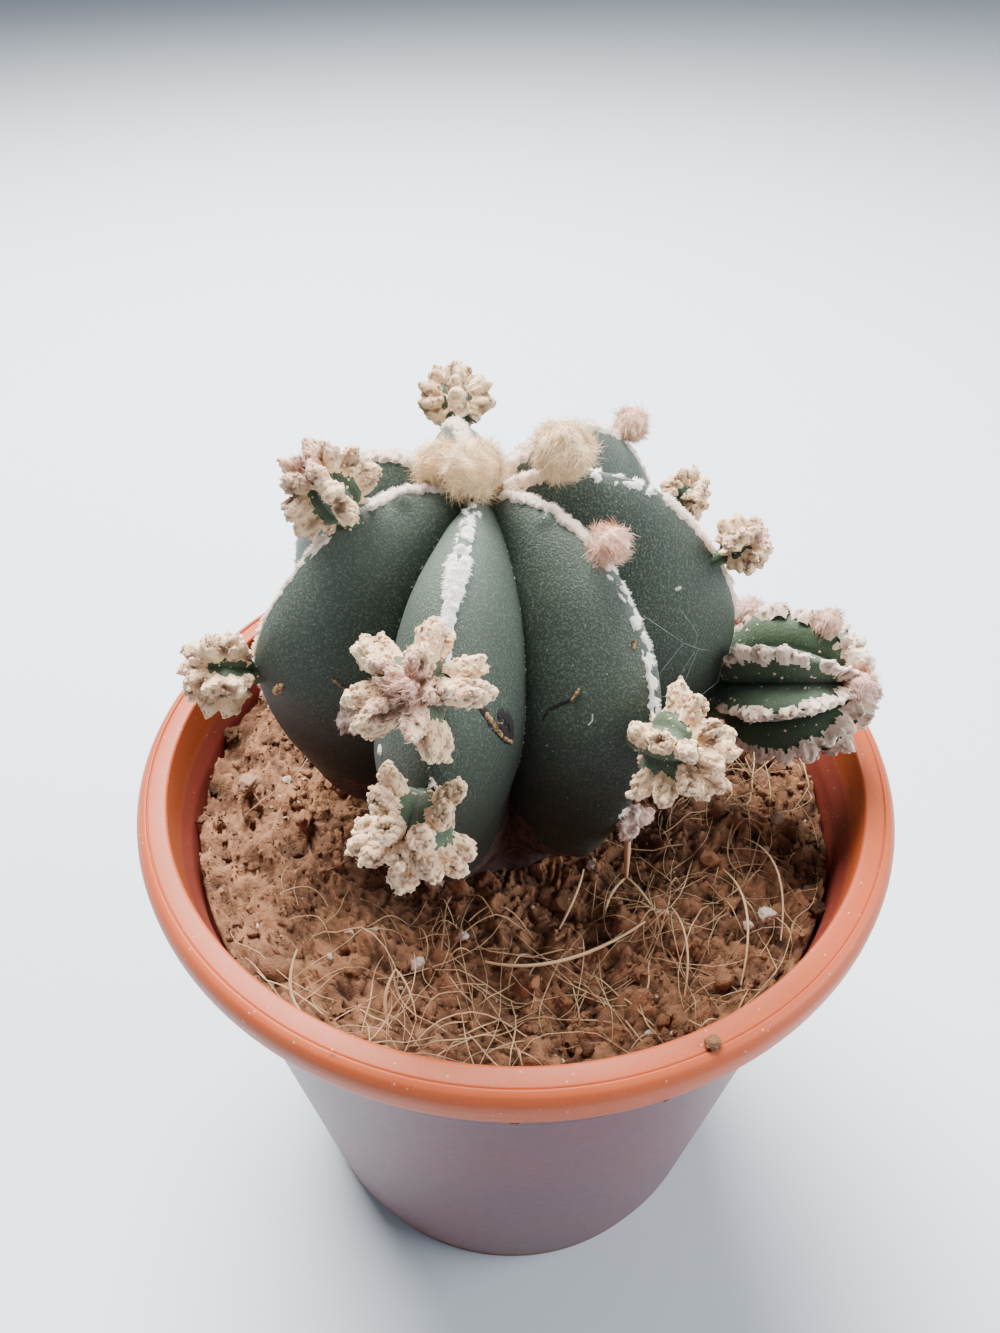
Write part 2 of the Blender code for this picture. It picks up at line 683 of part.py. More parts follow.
def make_large_head(parts, neighbours, skin, wool):
    """The large side head: a deeply ribbed ball, and the knobbly wool along its ribs."""
    place = large_head_place()
    stalk = (LARGE_HEAD_RADIUS * 0.5, LARGE_HEAD_RADIUS * 1.25)
    core = ribbed_ball(
        "large_offset_body", LARGE_HEAD_RADIUS, LARGE_HEAD_RIBS, 4, 10, LARGE_HEAD_FURROW, stalk, parts
    )
    core.data.transform(place)
    cutters = bpy.data.collections[CUTTERS_NAME]
    core_cutter = ball_cutter(f"{core.name}_clearance", LARGE_HEAD_CENTRE, LARGE_HEAD_RADIUS, cutters)
    clear_of(core, neighbours)
    chance = random.Random(LARGE_HEAD_SEED)
    tufts = [make_tuft(place @ Vector((0, 0, LARGE_HEAD_RADIUS)), LARGE_CROWN_TUFT, parts)]
    for rib in range(LARGE_HEAD_RIBS):
        crest = (rib + 0.5) * 360 / LARGE_HEAD_RIBS
        for row in range(1, LARGE_TUFT_ROWS + 1):
            ray = direction(crest + chance.uniform(-2, 2), LARGE_TUFT_STEP * row)
            size = chance.uniform(*LARGE_TUFT_RADII)
            tuft_centre = place @ (ray * LARGE_HEAD_RADIUS)
            tufts.append(make_tuft(tuft_centre, size, parts, turn=chance.uniform(0, 6)))
    for ray, radius in LARGE_HEAD_BALLS:
        centre = LARGE_HEAD_CENTRE + Vector(ray).normalized() * (LARGE_HEAD_RADIUS + 0.4 * radius * MM)
        tufts.append(make_tuft(centre, radius * MM, parts, subdivisions=2))
    coat = fuse(tufts, parts)
    thin_out(coat, 0.75 * KEPT_SHARE)
    clear_of(coat, [core_cutter] + neighbours)
    coat.name = "large_offset_wool"
    finish_piece(core, skin, parts)
    finish_piece(coat, wool, parts)


def make_bud(name, azimuth, angle, reach, radius, parts, neighbours, material):
    """A small dried bud: a shrunken ball with an uneven surface."""
    centre = from_body_centre(azimuth, angle, reach)
    bud = make_tuft(centre, radius * MM, parts, subdivisions=2)
    for vert in bud.data.vertices:
        vert.co += (vert.co - centre) * 0.45 * noise.noise(vert.co / MM / 1.3)
    clear_of(bud, neighbours)
    bud.name = name
    finish_piece(bud, material, parts)


# The whole plant

def build():
    clear_scene()
    parts = make_collection(OBJECT_NAME)
    cutters = make_collection(CUTTERS_NAME)
    wool = make_material("cream_wool", (0.62, 0.50, 0.36), 0.95)
    skin = make_material("young_green_skin", (0.09, 0.15, 0.07), 0.75)
    dried = make_material("dried_bud", (0.38, 0.26, 0.20), 0.95)

    make_pot(parts, cutters)
    body = make_body(parts)
    body_cutter = enlarged_cutter(body, cutters)
    make_soil(body_cutter, parts)
    felts = [make_felt(rib, foot, wool, parts) for rib, foot in enumerate(FELT_FOOTS)]
    felt_cutters = [enlarged_cutter(felt, cutters) for felt in felts]
    everything = [body_cutter] + felt_cutters

    balls = []
    for number, (azimuth, angle, reach, diameter) in enumerate(CROWN_BALLS, start=1):
        centre = from_body_centre(azimuth, angle, reach)
        near = everything + balls
        radius, seed = diameter / 2 * MM, CROWN_BALL_SEED + number
        make_wool_ball(f"crown_wool_{number}", centre, radius, seed, parts, near, wool)
        balls.append(ball_cutter(f"crown_wool_{number}_clearance", centre, radius, cutters))
    for number, (rib, azimuth, angle, reach, diameter) in enumerate(RIB_BALLS, start=1):
        centre = from_body_centre(azimuth, angle, reach)
        near = [body_cutter, felt_cutters[rib]] + balls
        radius, seed = diameter / 2 * MM, RIB_BALL_SEED + number
        make_wool_ball(f"rib_wool_{number}", centre, radius, seed, parts, near, wool)
    for number, head in enumerate(HEADS, start=1):
        make_head(number, head, parts, [body_cutter, felt_cutters[head[0]]], skin, wool)
    make_large_head(parts, [body_cutter, felt_cutters[0]], skin, wool)
    for name, azimuth, angle, reach, radius in BUDS:
        make_bud(name, azimuth, angle, reach, radius, parts, everything, dried)


build()
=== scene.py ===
"""Dresses the potted bishop's cap cactus: skin, felt, woolly heads, soil and pot over its fixed frame.

Metres, +Z up. Each piece is made by its own operator, listed in the sidebar's Cactus tab.
"""

import math
import random

import bmesh
import bpy
import numpy as np
from mathutils import Matrix, Vector, noise


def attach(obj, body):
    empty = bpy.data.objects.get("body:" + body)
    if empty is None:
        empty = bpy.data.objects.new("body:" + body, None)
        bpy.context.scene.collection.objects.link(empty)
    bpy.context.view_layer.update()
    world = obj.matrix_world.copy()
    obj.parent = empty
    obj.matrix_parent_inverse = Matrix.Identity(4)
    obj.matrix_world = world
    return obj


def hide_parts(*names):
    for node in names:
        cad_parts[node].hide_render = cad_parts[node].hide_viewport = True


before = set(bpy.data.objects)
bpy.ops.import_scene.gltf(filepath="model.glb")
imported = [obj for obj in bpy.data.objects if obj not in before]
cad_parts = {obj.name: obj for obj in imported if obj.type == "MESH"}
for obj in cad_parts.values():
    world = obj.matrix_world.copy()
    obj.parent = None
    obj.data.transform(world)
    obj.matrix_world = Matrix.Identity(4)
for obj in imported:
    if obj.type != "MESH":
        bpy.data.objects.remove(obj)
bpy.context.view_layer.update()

bl_info = {
    "name": "Potted bishop's cap cactus",
    "version": (1, 0, 0),
    "blender": (4, 5, 0),
    "location": "3D View > Sidebar > Cactus",
    "description": "Builds a bishop's cap cactus with woolly offsets in a round nursery pot",
    "category": "Add Mesh",
}

MM = 0.001
ROOT = "root"

# Seeds, to which a piece's own number is added where there are several
CLOD_SEED, CRUMB_SEED, FIBRE_SEED, MARK_SEED, FLECK_SEED = 3, 4, 17, 23, 41
BALL_SEED, BUD_SEED, BUD_HAIR_SEED = 50, 70, 80
HEAD_SEED, COAT_SEED, CORE_SEED, HAIR_STEP = 100, 200, 300, 100
LARGE_HEAD_SEED, LARGE_COAT_SEED, LARGE_CORE_SEED, LARGE_BALL_SEED = 7, 61, 62, 70

# Camera and lights
CAMERA_PLACE = (-0.0020, -0.0964, 0.1826)
CAMERA_PITCH = 40.66  # degrees down
LENS, SENSOR = 27.03, 36
WINDOW_PLACE, WINDOW_SIZE = (-0.14, 0.40, 0.75), 0.62
FILL_PLACE, FILL_SIZE = (0.74, -0.12, 0.46), 0.6
LIT_SPOT = (0, 0, 0.08)
FLOOR_RADIUS = 5.0

# Pot
RIM_RADIUS = 50 * MM
RIM_LINE = 84 * MM
BASE_RADIUS = 35 * MM
COLLAR_RADIUS = 45.2 * MM
COLLAR_FOOT = 70.6 * MM
PLASTIC = 1.2 * MM
FLOOR_TOP = 3.4 * MM
DRAIN_HOLES = 5
DRAIN_RADIUS = 3.2 * MM
DRAIN_CIRCLE = 20 * MM
WALL_SLOPE, WALL_LINE = -0.137, 0.0343  # radius + slope * height is past the line on the wall's outside only

# Soil
SOIL_LEVEL = 74 * MM
SOIL_LUMP = 1.9 * MM
SOIL_GAP = 0.42 * MM  # between the soil and the pot
FIBRE_REACH = 42.5 * MM  # from the pot's axis
BODY_RING = (13 * MM, 15.5 * MM)  # from the body's axis, where loose soil starts

# Body: a polar form about its own centre, with angles in degrees down from the crown
BODY_CENTRE = np.array((-4, 2, 96)) * MM
NOMINAL_REACH = 30.0
SKIN_NOISE = 0.35 * MM
CREST_PROFILE = (
    (0, 28), (15, 30.2), (30, 30.8), (45, 30.5), (60, 30.2), (75, 29.6), (90, 28), (110, 26.6),
    (123, 26.6), (133, 25.4), (141, 25.6), (150, 28.5), (160, 32), (170, 38), (180, 42),
)
FURROW_SHARE = (
    (0, 1), (10, 0.9), (20, 0.8), (40, 0.68), (60, 0.62), (110, 0.62), (125, 0.7), (141, 0.9), (160, 1),
)
FLANK_ROUNDNESS = 1.5
RIB_ANGLES = (0, 48, 96)
RIBS = (
    ((4, 4, 4), 33.0),
    ((45, 45, 45), 34.6),
    ((103, 103, 103), 32.5),
    ((148, 148, 148), 31.5),
    ((185, 195, 188), 30.0),
    ((260, 260, 260), 29.8),
    ((333, 319.5, 305), 29.5),
)

# Side heads: azimuth, angle from the crown, distance from the body's centre, diameter (mm), knob size
HEADS = (
    (99, 43, 36.8, 9.7, 1.0),
    (194, 29, 34.8, 10.6, 1.0),
    (194, 76, 32.8, 10.0, 1.0),
    (258, 51, 35.6, 12.2, 1.3),
    (258.5, 75.5, 34.2, 12.1, 1.1),
    (310, 70, 33.6, 11.9, 1.0),
    (2, 57, 36.4, 6.7, 1.0),
    (40, 69, 38.6, 6.6, 1.0),
)
HEAD_RIBS = 5
HEAD_FURROW = 0.72  # how far out the furrows of a head reach, as a share of its crests
COAT_SHARE = 1.41  # a head's whole diameter over that of its green core
STALK_SHARE = 0.38  # a stalk's radius, as a share of its core's
STALK_LENGTH = 8 * MM  # beyond the core, into the body
TUFT_SHARE = 0.37  # a knob of wool's reach, as a share of its core's radius
CROWN_TUFT = 0.34
TUFT_ROWS = 3
TUFT_STEP = 33  # degrees from one row of knobs to the next
ARM_TUFT = 0.62

# Woolly balls: name, CAD node, azimuth, angle, distance, diameter (mm), wool
WOOL_BALLS = (
    ("crown_ball_1", "crown_wool_1", 240, 3, 31.6, 6.8, "crown"),
    ("crown_ball_2", "crown_wool_2", 165, 9.5, 31.2, 5.2, "crown"),
    ("rib_ball_1", "rib_wool_1", -3, 15, 34.6, 6.8, "crown"),
    ("rib_ball_2", "rib_wool_2", 45, 45, 37.6, 4.4, "pink"),
    ("rib_ball_3", "rib_wool_3", 322, 31.5, 32.7, 4.4, "pink"),
)

LARGE_HEAD_CENTRE = Vector((35.5, 1, 96)) * MM
LARGE_HEAD_AXIS = Vector((0.75, -0.49, 0.44))
LARGE_HEAD_RADIUS = 9.8 * MM
LARGE_HEAD_RIBS = 8
LARGE_HEAD_FURROW = 0.62
LARGE_HEAD_ROLL = 0.2  # radians about its axis
LARGE_CROWN_TUFT = 1.4 * MM
LARGE_TUFT_ROWS = 6
LARGE_TUFT_STEP = 17
LARGE_HEAD_BALLS = (
    ((-0.43, 0.68, 0.58), 1.9),
    ((0.29, 0.0, 0.96), 1.8),
    ((0.62, -0.60, 0.50), 1.9),
)

# Dried buds: name, CAD node, azimuth, angle, distance, radius (mm)
BUDS = (
    ("dried_bud_front", "shrivelled_bud", 309, 97, 27.6, 2.1),
    ("dried_bud_left", "side_bud", 222, 74, 21.8, 1.8),
)

# Felt on each rib, down from the crown: from angle, to angle, half width (mm), cover, height (mm), whiteness
# Cover 1 is a closed strip, less leaves separate flecks, and 2 parts it in two strands
FELTS = (
    ((5, 14, 0.9, 1, 0.54, 0.2), (19, 36, 0.9, 0.5, 0.41, 0.9), (38, 75, 0.9, 1, 0.54, 0.35),
     (75, 111, 0.41, 0.6, 0.27, 0.5)),
    ((5, 42, 0.9, 1, 0.61, 0.35), (47, 67, 0.9, 1, 0.54, 0.35), (67, 110, 0.49, 0.6, 0.34, 0.4)),
    ((5, 41, 0.9, 1, 0.61, 0.35), (46, 104, 0.9, 0.8, 0.48, 0.4)),
    ((5, 34, 0.98, 1, 0.68, 0.35), (34, 104, 0.9, 0.9, 0.54, 0.35)),
    ((5, 25, 0.9, 1, 0.61, 0.55), (33, 42, 0.98, 0.7, 0.54, 0.4), (42, 75, 0.57, 0.95, 0.34, 0.4),
     (80, 116, 0.66, 0.5, 0.34, -0.4)),
    ((6, 24, 1.02, 0.45, 0.41, 1), (24, 34, 1.07, 2, 0.54, 1), (34, 49, 0.82, 1, 0.54, 1),
     (57, 111, 0.57, 0.5, 0.34, 0.6)),
    ((5, 28.5, 0.9, 1, 0.61, 0.45), (33.5, 67, 0.82, 0.52, 0.44, 1), (67, 97, 0.49, 0.5, 0.27, 0.7)),
)

# Small swellings on the skin: azimuth, angle, half width in degrees, rise (mm)
KNOBS = ((196.4, 17.5, 1.6, 0.7), (319, 18.0, 1.1, 0.5), (325, 17.6, 1.1, 0.5))

# Marks on the skin: tint (0 dead, 0.5 cork, 1 white), half width and rise (mm), azimuths and angles of a line
MARKS = (
    (0.0, 0.56, 0.12, ((275.2, 57.2), (277.4, 58.4), (278.8, 61.2), (278.9, 64.2))),
    (0.0, 0.52, 0.10, ((275.4, 60.0), (277.0, 63.5), (278.5, 65.0))),
    (0.0, 0.40, 0.08, ((268.9, 53.6), (271.2, 56.0), (273.9, 60.5), (276.0, 63.6), (278.7, 66.3))),
    (0.5, 0.22, 0.24, ((268.7, 53.5), (270.3, 54.8))),
    (0.5, 0.24, 0.30, ((271.4, 56.4), (272.5, 57.9), (273.9, 60.5), (275.4, 62.7))),
    (0.5, 0.20, 0.26, ((276.2, 63.8), (278.6, 66.2))),
    (0.5, 0.12, 0.16, ((274.4, 59.2), (275.8, 59.6))),
    (0.1, 0.22, 0.03, ((298.2, 58.2), (295.8, 59.2), (293.6, 60.3))),
    (0.1, 0.14, 0.02, ((293.0, 61.0), (291.4, 64.0))),
    (0.5, 0.17, 0.22, ((300.9, 55.9), (299.9, 57.0), (298.9, 58.4))),
    (0.5, 0.18, 0.20, ((216.1, 62.5), (219.2, 65.0), (222.1, 69.0))),
    (0.5, 0.24, 0.18, ((316.1, 49.9), (315.2, 51.1))),
    (1.0, 0.24, 0.20, ((328.0, 16.8), (326.6, 17.0))),
    (1.0, 0.12, 0.14, ((324.4, 17.1), (324.0, 17.1))),
    (1.0, 0.11, 0.13, ((322.2, 17.3), (321.8, 17.3))),
    (1.0, 0.10, 0.12, ((320.2, 17.5), (319.8, 17.5))),
    (1.0, 0.10, 0.12, ((318.2, 17.7), (317.8, 17.7))),
    (0.8, 0.07, 0.05, ((301.8, 62.5), (301.4, 64.0), (300.4, 65.0))),
    (0.8, 0.22, 0.05, ((352.0, 53.8), (352.6, 54.3))),
    (0.45, 0.42, 0.30, ((205.0, 71.5), (202.0, 76.0))),
    (1.0, 0.36, 0.40, ((241.8, 70.5), (242.6, 71.5))),
)

# Threads of the cobweb: azimuth, angle and distance from the skin (mm) of each knot
COBWEB = (
    ((324.9, 47.0, 0.4), (346.5, 66.5, 1.6), (348.6, 70.5, 1.4), (352.6, 74.5, 0.2)),
    ((348.6, 70.5, 1.4), (344.7, 83.0, 1.2), (332.0, 74.0, 2.0)),
    ((350.5, 58.5, 0.1), (350.0, 64.0, 0.7), (349.8, 67.0, 1.0), (347.8, 70.5, 1.5), (344.2, 79.5, 0.8)),
    ((355.9, 80.5, 0.3), (350.3, 82.5, 2.5), (340.0, 86.0, 4.5)),
    ((346.5, 66.5, 1.6), (340.0, 75.0, 1.8), (336.0, 82.0, 2.2)),
)

# How a head's crust looks: crumbs on each square metre and their largest radius (mm), cover (1 whole), half
# width of the wool on a rib, its rise and lumps (mm), knobs and their spread (degrees), pinkness, hair, extra
# arms, and the grid
PLAIN_LOOK = {
    "crumbs": 2.6e6, "crumb": 0.36, "cover": 0.2, "half": 1.1, "rise": 0.7, "lump": 0.9, "knob": 0.95,
    "spread": 17.0, "pink": 0.4, "hair": 0.6, "arms": 0, "low": 140.0, "rows": 60, "columns": 110,
}
HEAD_LOOKS = (
    {"half": 1.5, "cover": 0.2, "crumbs": 1.6e6, "crumb": 0.3, "lump": 1.3, "pink": 0.2},
    {"half": 0.9, "cover": 0.02, "crumbs": 4.2e6, "crumb": 0.26, "pink": 1.0, "hair": 0.9},
    {"half": 0.9, "cover": 0.25, "crumbs": 2.2e6, "lump": 1.1, "pink": 0.4},
    {"half": 0.8, "cover": 0.0, "crumbs": 3.4e6, "spread": 15.0, "pink": 1.2, "hair": 1.3, "arms": 4,
     "knob": 1.05},
    {"half": 1.0, "cover": -0.1, "crumbs": 4.6e6, "crumb": 0.46, "spread": 13.5, "pink": 0.4, "hair": 0.8},
    {"half": 1.0, "cover": -0.1, "crumbs": 4.4e6, "crumb": 0.42, "spread": 13.0, "pink": 0.2, "knob": 1.1},
    {"half": 1.0, "crumb": 0.28, "rows": 44, "columns": 80, "pink": 0.6},
    {"half": 1.0, "crumb": 0.28, "rows": 44, "columns": 80, "pink": 0.8},
)
LARGE_LOOK = {
    "crumbs": 1.7e6, "crumb": 0.36, "cover": 0.22, "half": 0.75, "rise": 0.6, "lump": 1.1, "spread": 7.5,
    "knob": 0.85, "pink": 0.0, "hair": 0.7, "low": 128.0, "rows": 110, "columns": 240,
}

# Stout fibres and dry blades in the soil: three points of each arc, and its radius (mm)
STOUT_FIBRES = (
    (((-3.8, -27.8, 76.6), (5.6, -28.0, 77.2), (16.0, -22.8, 77.6)), 0.26),
    (((-22.4, -35.4, 74.5), (-26.2, -33.0, 77.0), (-25.8, -29.0, 81.0)), 0.24),
    (((-15.2, -34.4, 74.0), (-15.4, -32.6, 77.0), (-14.2, -30.6, 79.4)), 0.20),
    (((-14.2, -30.6, 79.4), (-12.6, -32.4, 77.6), (-11.8, -34.6, 75.0)), 0.13),
    (((13.2, -19.0, 91.0), (14.0, -16.0, 83.0), (14.6, -14.6, 75.6)), 0.42),
    (((14.6, -14.6, 75.8), (12.5, -17.0, 75.6), (11.4, -20.0, 75.2)), 0.22),
    (((14.6, -14.6, 75.8), (16.4, -17.5, 76.2), (18.6, -21.6, 75.4)), 0.20),
    (((5.5, -22.0, 75.0), (7.6, -18.6, 77.4), (8.8, -15.4, 78.6)), 0.20),
    (((27.0, -30.0, 75.0), (28.6, -22.0, 78.6), (27.4, -14.0, 76.6)), 0.16),
    (((33.0, -24.0, 75.4), (33.6, -16.0, 79.0), (31.0, -9.0, 77.0)), 0.15),
    (((20.0, -31.5, 75.2), (20.6, -26.0, 78.2), (19.6, -20.0, 77.0)), 0.15),
)

# Bits on the soil and specks of dirt on the pot: place and size (mm), flatness, tint (1 pale)
SOIL_BITS = (
    ((31.4, -21.4, 77.2), 1.0, 0.8, 1.0),
    ((29.0, -22.6, 76.6), 0.6, 0.8, 1.0),
    ((-37.4, -0.3, 78.6), 1.5, 0.6, 0.97),
    ((-6.5, -24.0, 76.4), 0.6, 0.8, 1.0),
    ((36.0, -6.0, 77.4), 0.9, 0.7, 0.975),
    ((19.9, -43.7, 86.5), 0.80, 0.8, 0.6),
    ((-0.5, -48.9, 80.7), 0.50, 0.9, 0.2),
    ((17.2, -40.4, 68.3), 0.75, 0.25, 0.2),
    ((17.7, -40.1, 67.1), 0.55, 0.25, 0.2),
)


# Numbers and curves

def smooth_curve(points, x):
    """Value at x of a smooth curve through (x, y) points, level past its ends. Takes arrays."""
    xs, ys = np.array(points, float).T
    last = len(xs) - 1
    before, after = np.maximum(np.arange(last + 1) - 1, 0), np.minimum(np.arange(last + 1) + 1, last)
    slopes = (ys[after] - ys[before]) / (xs[after] - xs[before])
    x = np.clip(np.asarray(x, float), xs[0], xs[-1])
    at = np.clip(np.searchsorted(xs, x, side="right") - 1, 0, last - 1)
    width = xs[at + 1] - xs[at]
    u = (x - xs[at]) / width
    rise = ys[at] + (ys[at + 1] - ys[at]) * (3 * u**2 - 2 * u**3)
    return rise + width * (slopes[at] * (u**3 - 2 * u**2 + u) + slopes[at + 1] * (u**3 - u**2))


def soft_step(low, high, x):
    t = np.clip((x - low) / (high - low), 0, 1)
    return t * t * (3 - 2 * t)


def rays(azimuth, angle):
    """Unit vectors at azimuths about +Z and angles down from +Z, in degrees, as rows."""
    turn, tilt = np.radians(azimuth), np.radians(angle)
    turn, tilt = np.broadcast_arrays(turn, tilt)
    return np.stack([np.cos(turn) * np.sin(tilt), np.sin(turn) * np.sin(tilt), np.cos(tilt)], -1)


def ray(azimuth, angle):
    return Vector(rays(azimuth, angle))


def from_body_centre(azimuth, angle, reach):
    return Vector(BODY_CENTRE) + ray(azimuth, angle) * reach * MM


def noise_at(points, size, offset=0.0):
    """Smooth noise from -1 to 1 at each point, for lumps of a size in metres."""
    flat = np.asarray(points).reshape(-1, 3) / size + offset
    return np.array([noise.noise(p) for p in flat]).reshape(np.shape(points)[:-1])


def cells_at(points, size, offset=0.0):
    """Distance to the nearest of a set of scattered points, in cells, at each point."""
    flat = np.asarray(points).reshape(-1, 3) / size + offset
    return np.array([noise.voronoi(p)[0][0] for p in flat]).reshape(np.shape(points)[:-1])


def domes_at(points, size, offset=0.0):
    """Height from 0 to 1 of rounded nodules packed side by side, with sharp creases between them."""
    return np.sqrt(np.clip(1 - (cells_at(points, size, offset) / 0.8) ** 2, 0, 1))


# Meshes

def object_from_mesh(name, mesh):
    item = bpy.data.objects.new(name, mesh)
    bpy.context.scene.collection.objects.link(item)
    return item


def object_from_bmesh(name, bm, smooth=False):
    mesh = bpy.data.meshes.new(name)
    bm.to_mesh(mesh)
    bm.free()
    if smooth:
        mesh.shade_smooth()
    return object_from_mesh(name, mesh)


def name_numbers(mesh, **numbers):
    """Keep a number for each point of a mesh, under each name."""
    for name, values in numbers.items():
        layer = mesh.attributes.new(name, "FLOAT", "POINT")
        layer.data.foreach_set("value", np.asarray(values, np.float32).ravel())


def name_vectors(mesh, **vectors):
    for name, values in vectors.items():
        layer = mesh.attributes.new(name, "FLOAT_VECTOR", "POINT")
        layer.data.foreach_set("vector", np.asarray(values, np.float32).ravel())


def grid_faces(rows, columns, wrap):
    """Quads of a grid of rows by columns, whose last column may meet its first."""
    row, column = np.mgrid[0:rows - 1, 0:columns - (0 if wrap else 1)]
    after = (column + 1) % columns
    here, above = row * columns, (row + 1) * columns
    corners = [here + column, above + column, above + after, here + after]
    return np.stack(corners, -1).reshape(-1, 4)


def mesh_from(name, points, faces, values=None, vectors=None):
    """A mesh from arrays of points and faces, with named numbers and vectors on its points."""
    mesh = bpy.data.meshes.new(name)
    mesh.from_pydata(np.asarray(points).reshape(-1, 3).tolist(), [], [tuple(f) for f in faces])
    name_numbers(mesh, **(values or {}))
    name_vectors(mesh, **(vectors or {}))
    mesh.shade_smooth()
    mesh.update()
    return mesh


def bake(item):
    """Turn an object and its modifiers into one plain mesh."""
    bpy.context.view_layer.update()
    graph = bpy.context.evaluated_depsgraph_get()
    shown = item.evaluated_get(graph)
    made = bpy.data.meshes.new_from_object(shown, preserve_all_data_layers=True, depsgraph=graph)
    item.modifiers.clear()
    old, item.data = item.data, made
    bpy.data.meshes.remove(old)
    return item


def run_tree(item, name, **inputs):
    """Give an object's mesh to a node tree, with inputs by name, and keep what comes out."""
    tree = bpy.data.node_groups[name]
    sockets = [s for s in tree.interface.items_tree if s.item_type == "SOCKET" and s.in_out == "INPUT"]
    identifiers = {s.name.lower().replace(" ", "_"): s.identifier for s in sockets}
    modifier = item.modifiers.new(tree.name, "NODES")
    modifier.node_group = tree
    for key, value in inputs.items():
        modifier[identifiers[key]] = value
    return bake(item)


def hand_over(item, material, slot, *nodes):
    """Dress a finished piece, tie it to the frame and let it stand for its frame nodes."""
    item.data.materials.clear()
    item.data.materials.append(material)
    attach(item, ROOT)
    if nodes:
        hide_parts(*nodes)
    return item


# Node trees

def add(tree, kind, inputs=None, **settings):
    """Add a node, set it up, and give its inputs values or links."""
    made = tree.nodes.new(kind)
    made.location = (190 * (len(tree.nodes) % 12), -220 * (len(tree.nodes) // 12))
    for key, value in settings.items():
        setattr(made, key, value)
    for key, value in (inputs or {}).items():
        link(tree, value, made.inputs[key])
    return made


def link(tree, value, socket):
    if isinstance(value, bpy.types.NodeSocket):
        tree.links.new(value, socket)
    else:
        socket.default_value = (*value, 1.0) if socket.type == "RGBA" else value


def feed(tree, node, **inputs):
    """Give a node's inputs values or links, by name."""
    for key, value in inputs.items():
        link(tree, value, node.inputs[key.replace("_", " ")])


def calc(tree, operation, first, second=0.0, third=0.0, clamp=False):
    """A number worked out from one to three others."""
    made = add(tree, "ShaderNodeMath", {0: first, 1: second, 2: third}, operation=operation, use_clamp=clamp)
    return made.outputs[0]


def times(tree, first, second, clamp=False):
    return calc(tree, "MULTIPLY", first, second, clamp=clamp)


def plus(tree, first, second, clamp=False):
    return calc(tree, "ADD", first, second, clamp=clamp)


def minus(tree, first, second):
    return calc(tree, "SUBTRACT", first, second)


def between(tree, low, high, value):
    """0 at or below low, 1 at or above high, and smooth between them."""
    made = add(
        tree, "ShaderNodeMapRange", {"Value": value, "From Min": low, "From Max": high},
        interpolation_type="SMOOTHSTEP",
    )
    return made.outputs[0]


def noise_texture(tree, place, per_metre, detail=2.0, roughness=0.5):
    """Outputs of soft noise with so many waves to a metre."""
    inputs = {"Vector": place, "Scale": per_metre, "Detail": detail, "Roughness": roughness}
    return add(tree, "ShaderNodeTexNoise", inputs).outputs


def blend(tree, share, first, second, mode="MIX"):
    """Two colours mixed by a share."""
    made = add(tree, "ShaderNodeMix", data_type="RGBA", blend_type=mode)
    link(tree, share, made.inputs[0])
    link(tree, first, made.inputs[6])
    link(tree, second, made.inputs[7])
    return made.outputs[2]


def new_tree(name, kind, inputs, outputs):
    tree = bpy.data.node_groups.new(name, kind)
    for title, socket_kind, default in inputs:
        socket = tree.interface.new_socket(title, in_out="INPUT", socket_type=socket_kind)
        if default is not None:
            socket.default_value = default
    for title, socket_kind in outputs:
        tree.interface.new_socket(title, in_out="OUTPUT", socket_type=socket_kind)
    return tree, add(tree, "NodeGroupInput").outputs, add(tree, "NodeGroupOutput").inputs


GEOMETRY, NUMBER, COUNT = "NodeSocketGeometry", "NodeSocketFloat", "NodeSocketInt"


def random_number(tree, low, high, seed):
    made = add(tree, "FunctionNodeRandomValue", data_type="FLOAT")
    for index, value in ((2, low), (3, high), (8, seed)):
        link(tree, value, made.inputs[index])
    return made.outputs[1]


def random_vector(tree, size, seed):
    made = add(tree, "FunctionNodeRandomValue", data_type="FLOAT_VECTOR")
    made.inputs[0].default_value, made.inputs[1].default_value = (-1, -1, -1), (1, 1, 1)
    link(tree, seed, made.inputs[8])
    scaled = add(tree, "ShaderNodeVectorMath", {0: made.outputs[0]}, operation="SCALE")
    link(tree, size, scaled.inputs[3])
    return scaled.outputs[0]


def vector_sum(tree, first, second):
    return add(tree, "ShaderNodeVectorMath", {0: first, 1: second}, operation="ADD").outputs[0]


def named(tree, title, kind="FLOAT"):
    return add(tree, "GeometryNodeInputNamedAttribute", {"Name": title}, data_type=kind).outputs[0]


def store(tree, geometry, title, value, domain):
    made = add(tree, "GeometryNodeStoreNamedAttribute", data_type="FLOAT", domain=domain)
    for key, given in (("Geometry", geometry), ("Name", title), ("Value", value)):
        link(tree, given, made.inputs[key])
    return made.outputs[0]


def ending(tree, geometry, material, out):
    """Real geometry, in its material."""
    real = add(tree, "GeometryNodeRealizeInstances", {"Geometry": geometry}).outputs[0]
    done = add(tree, "GeometryNodeSetMaterial", {"Geometry": real, "Material": material}).outputs[0]
    link(tree, done, out[0])


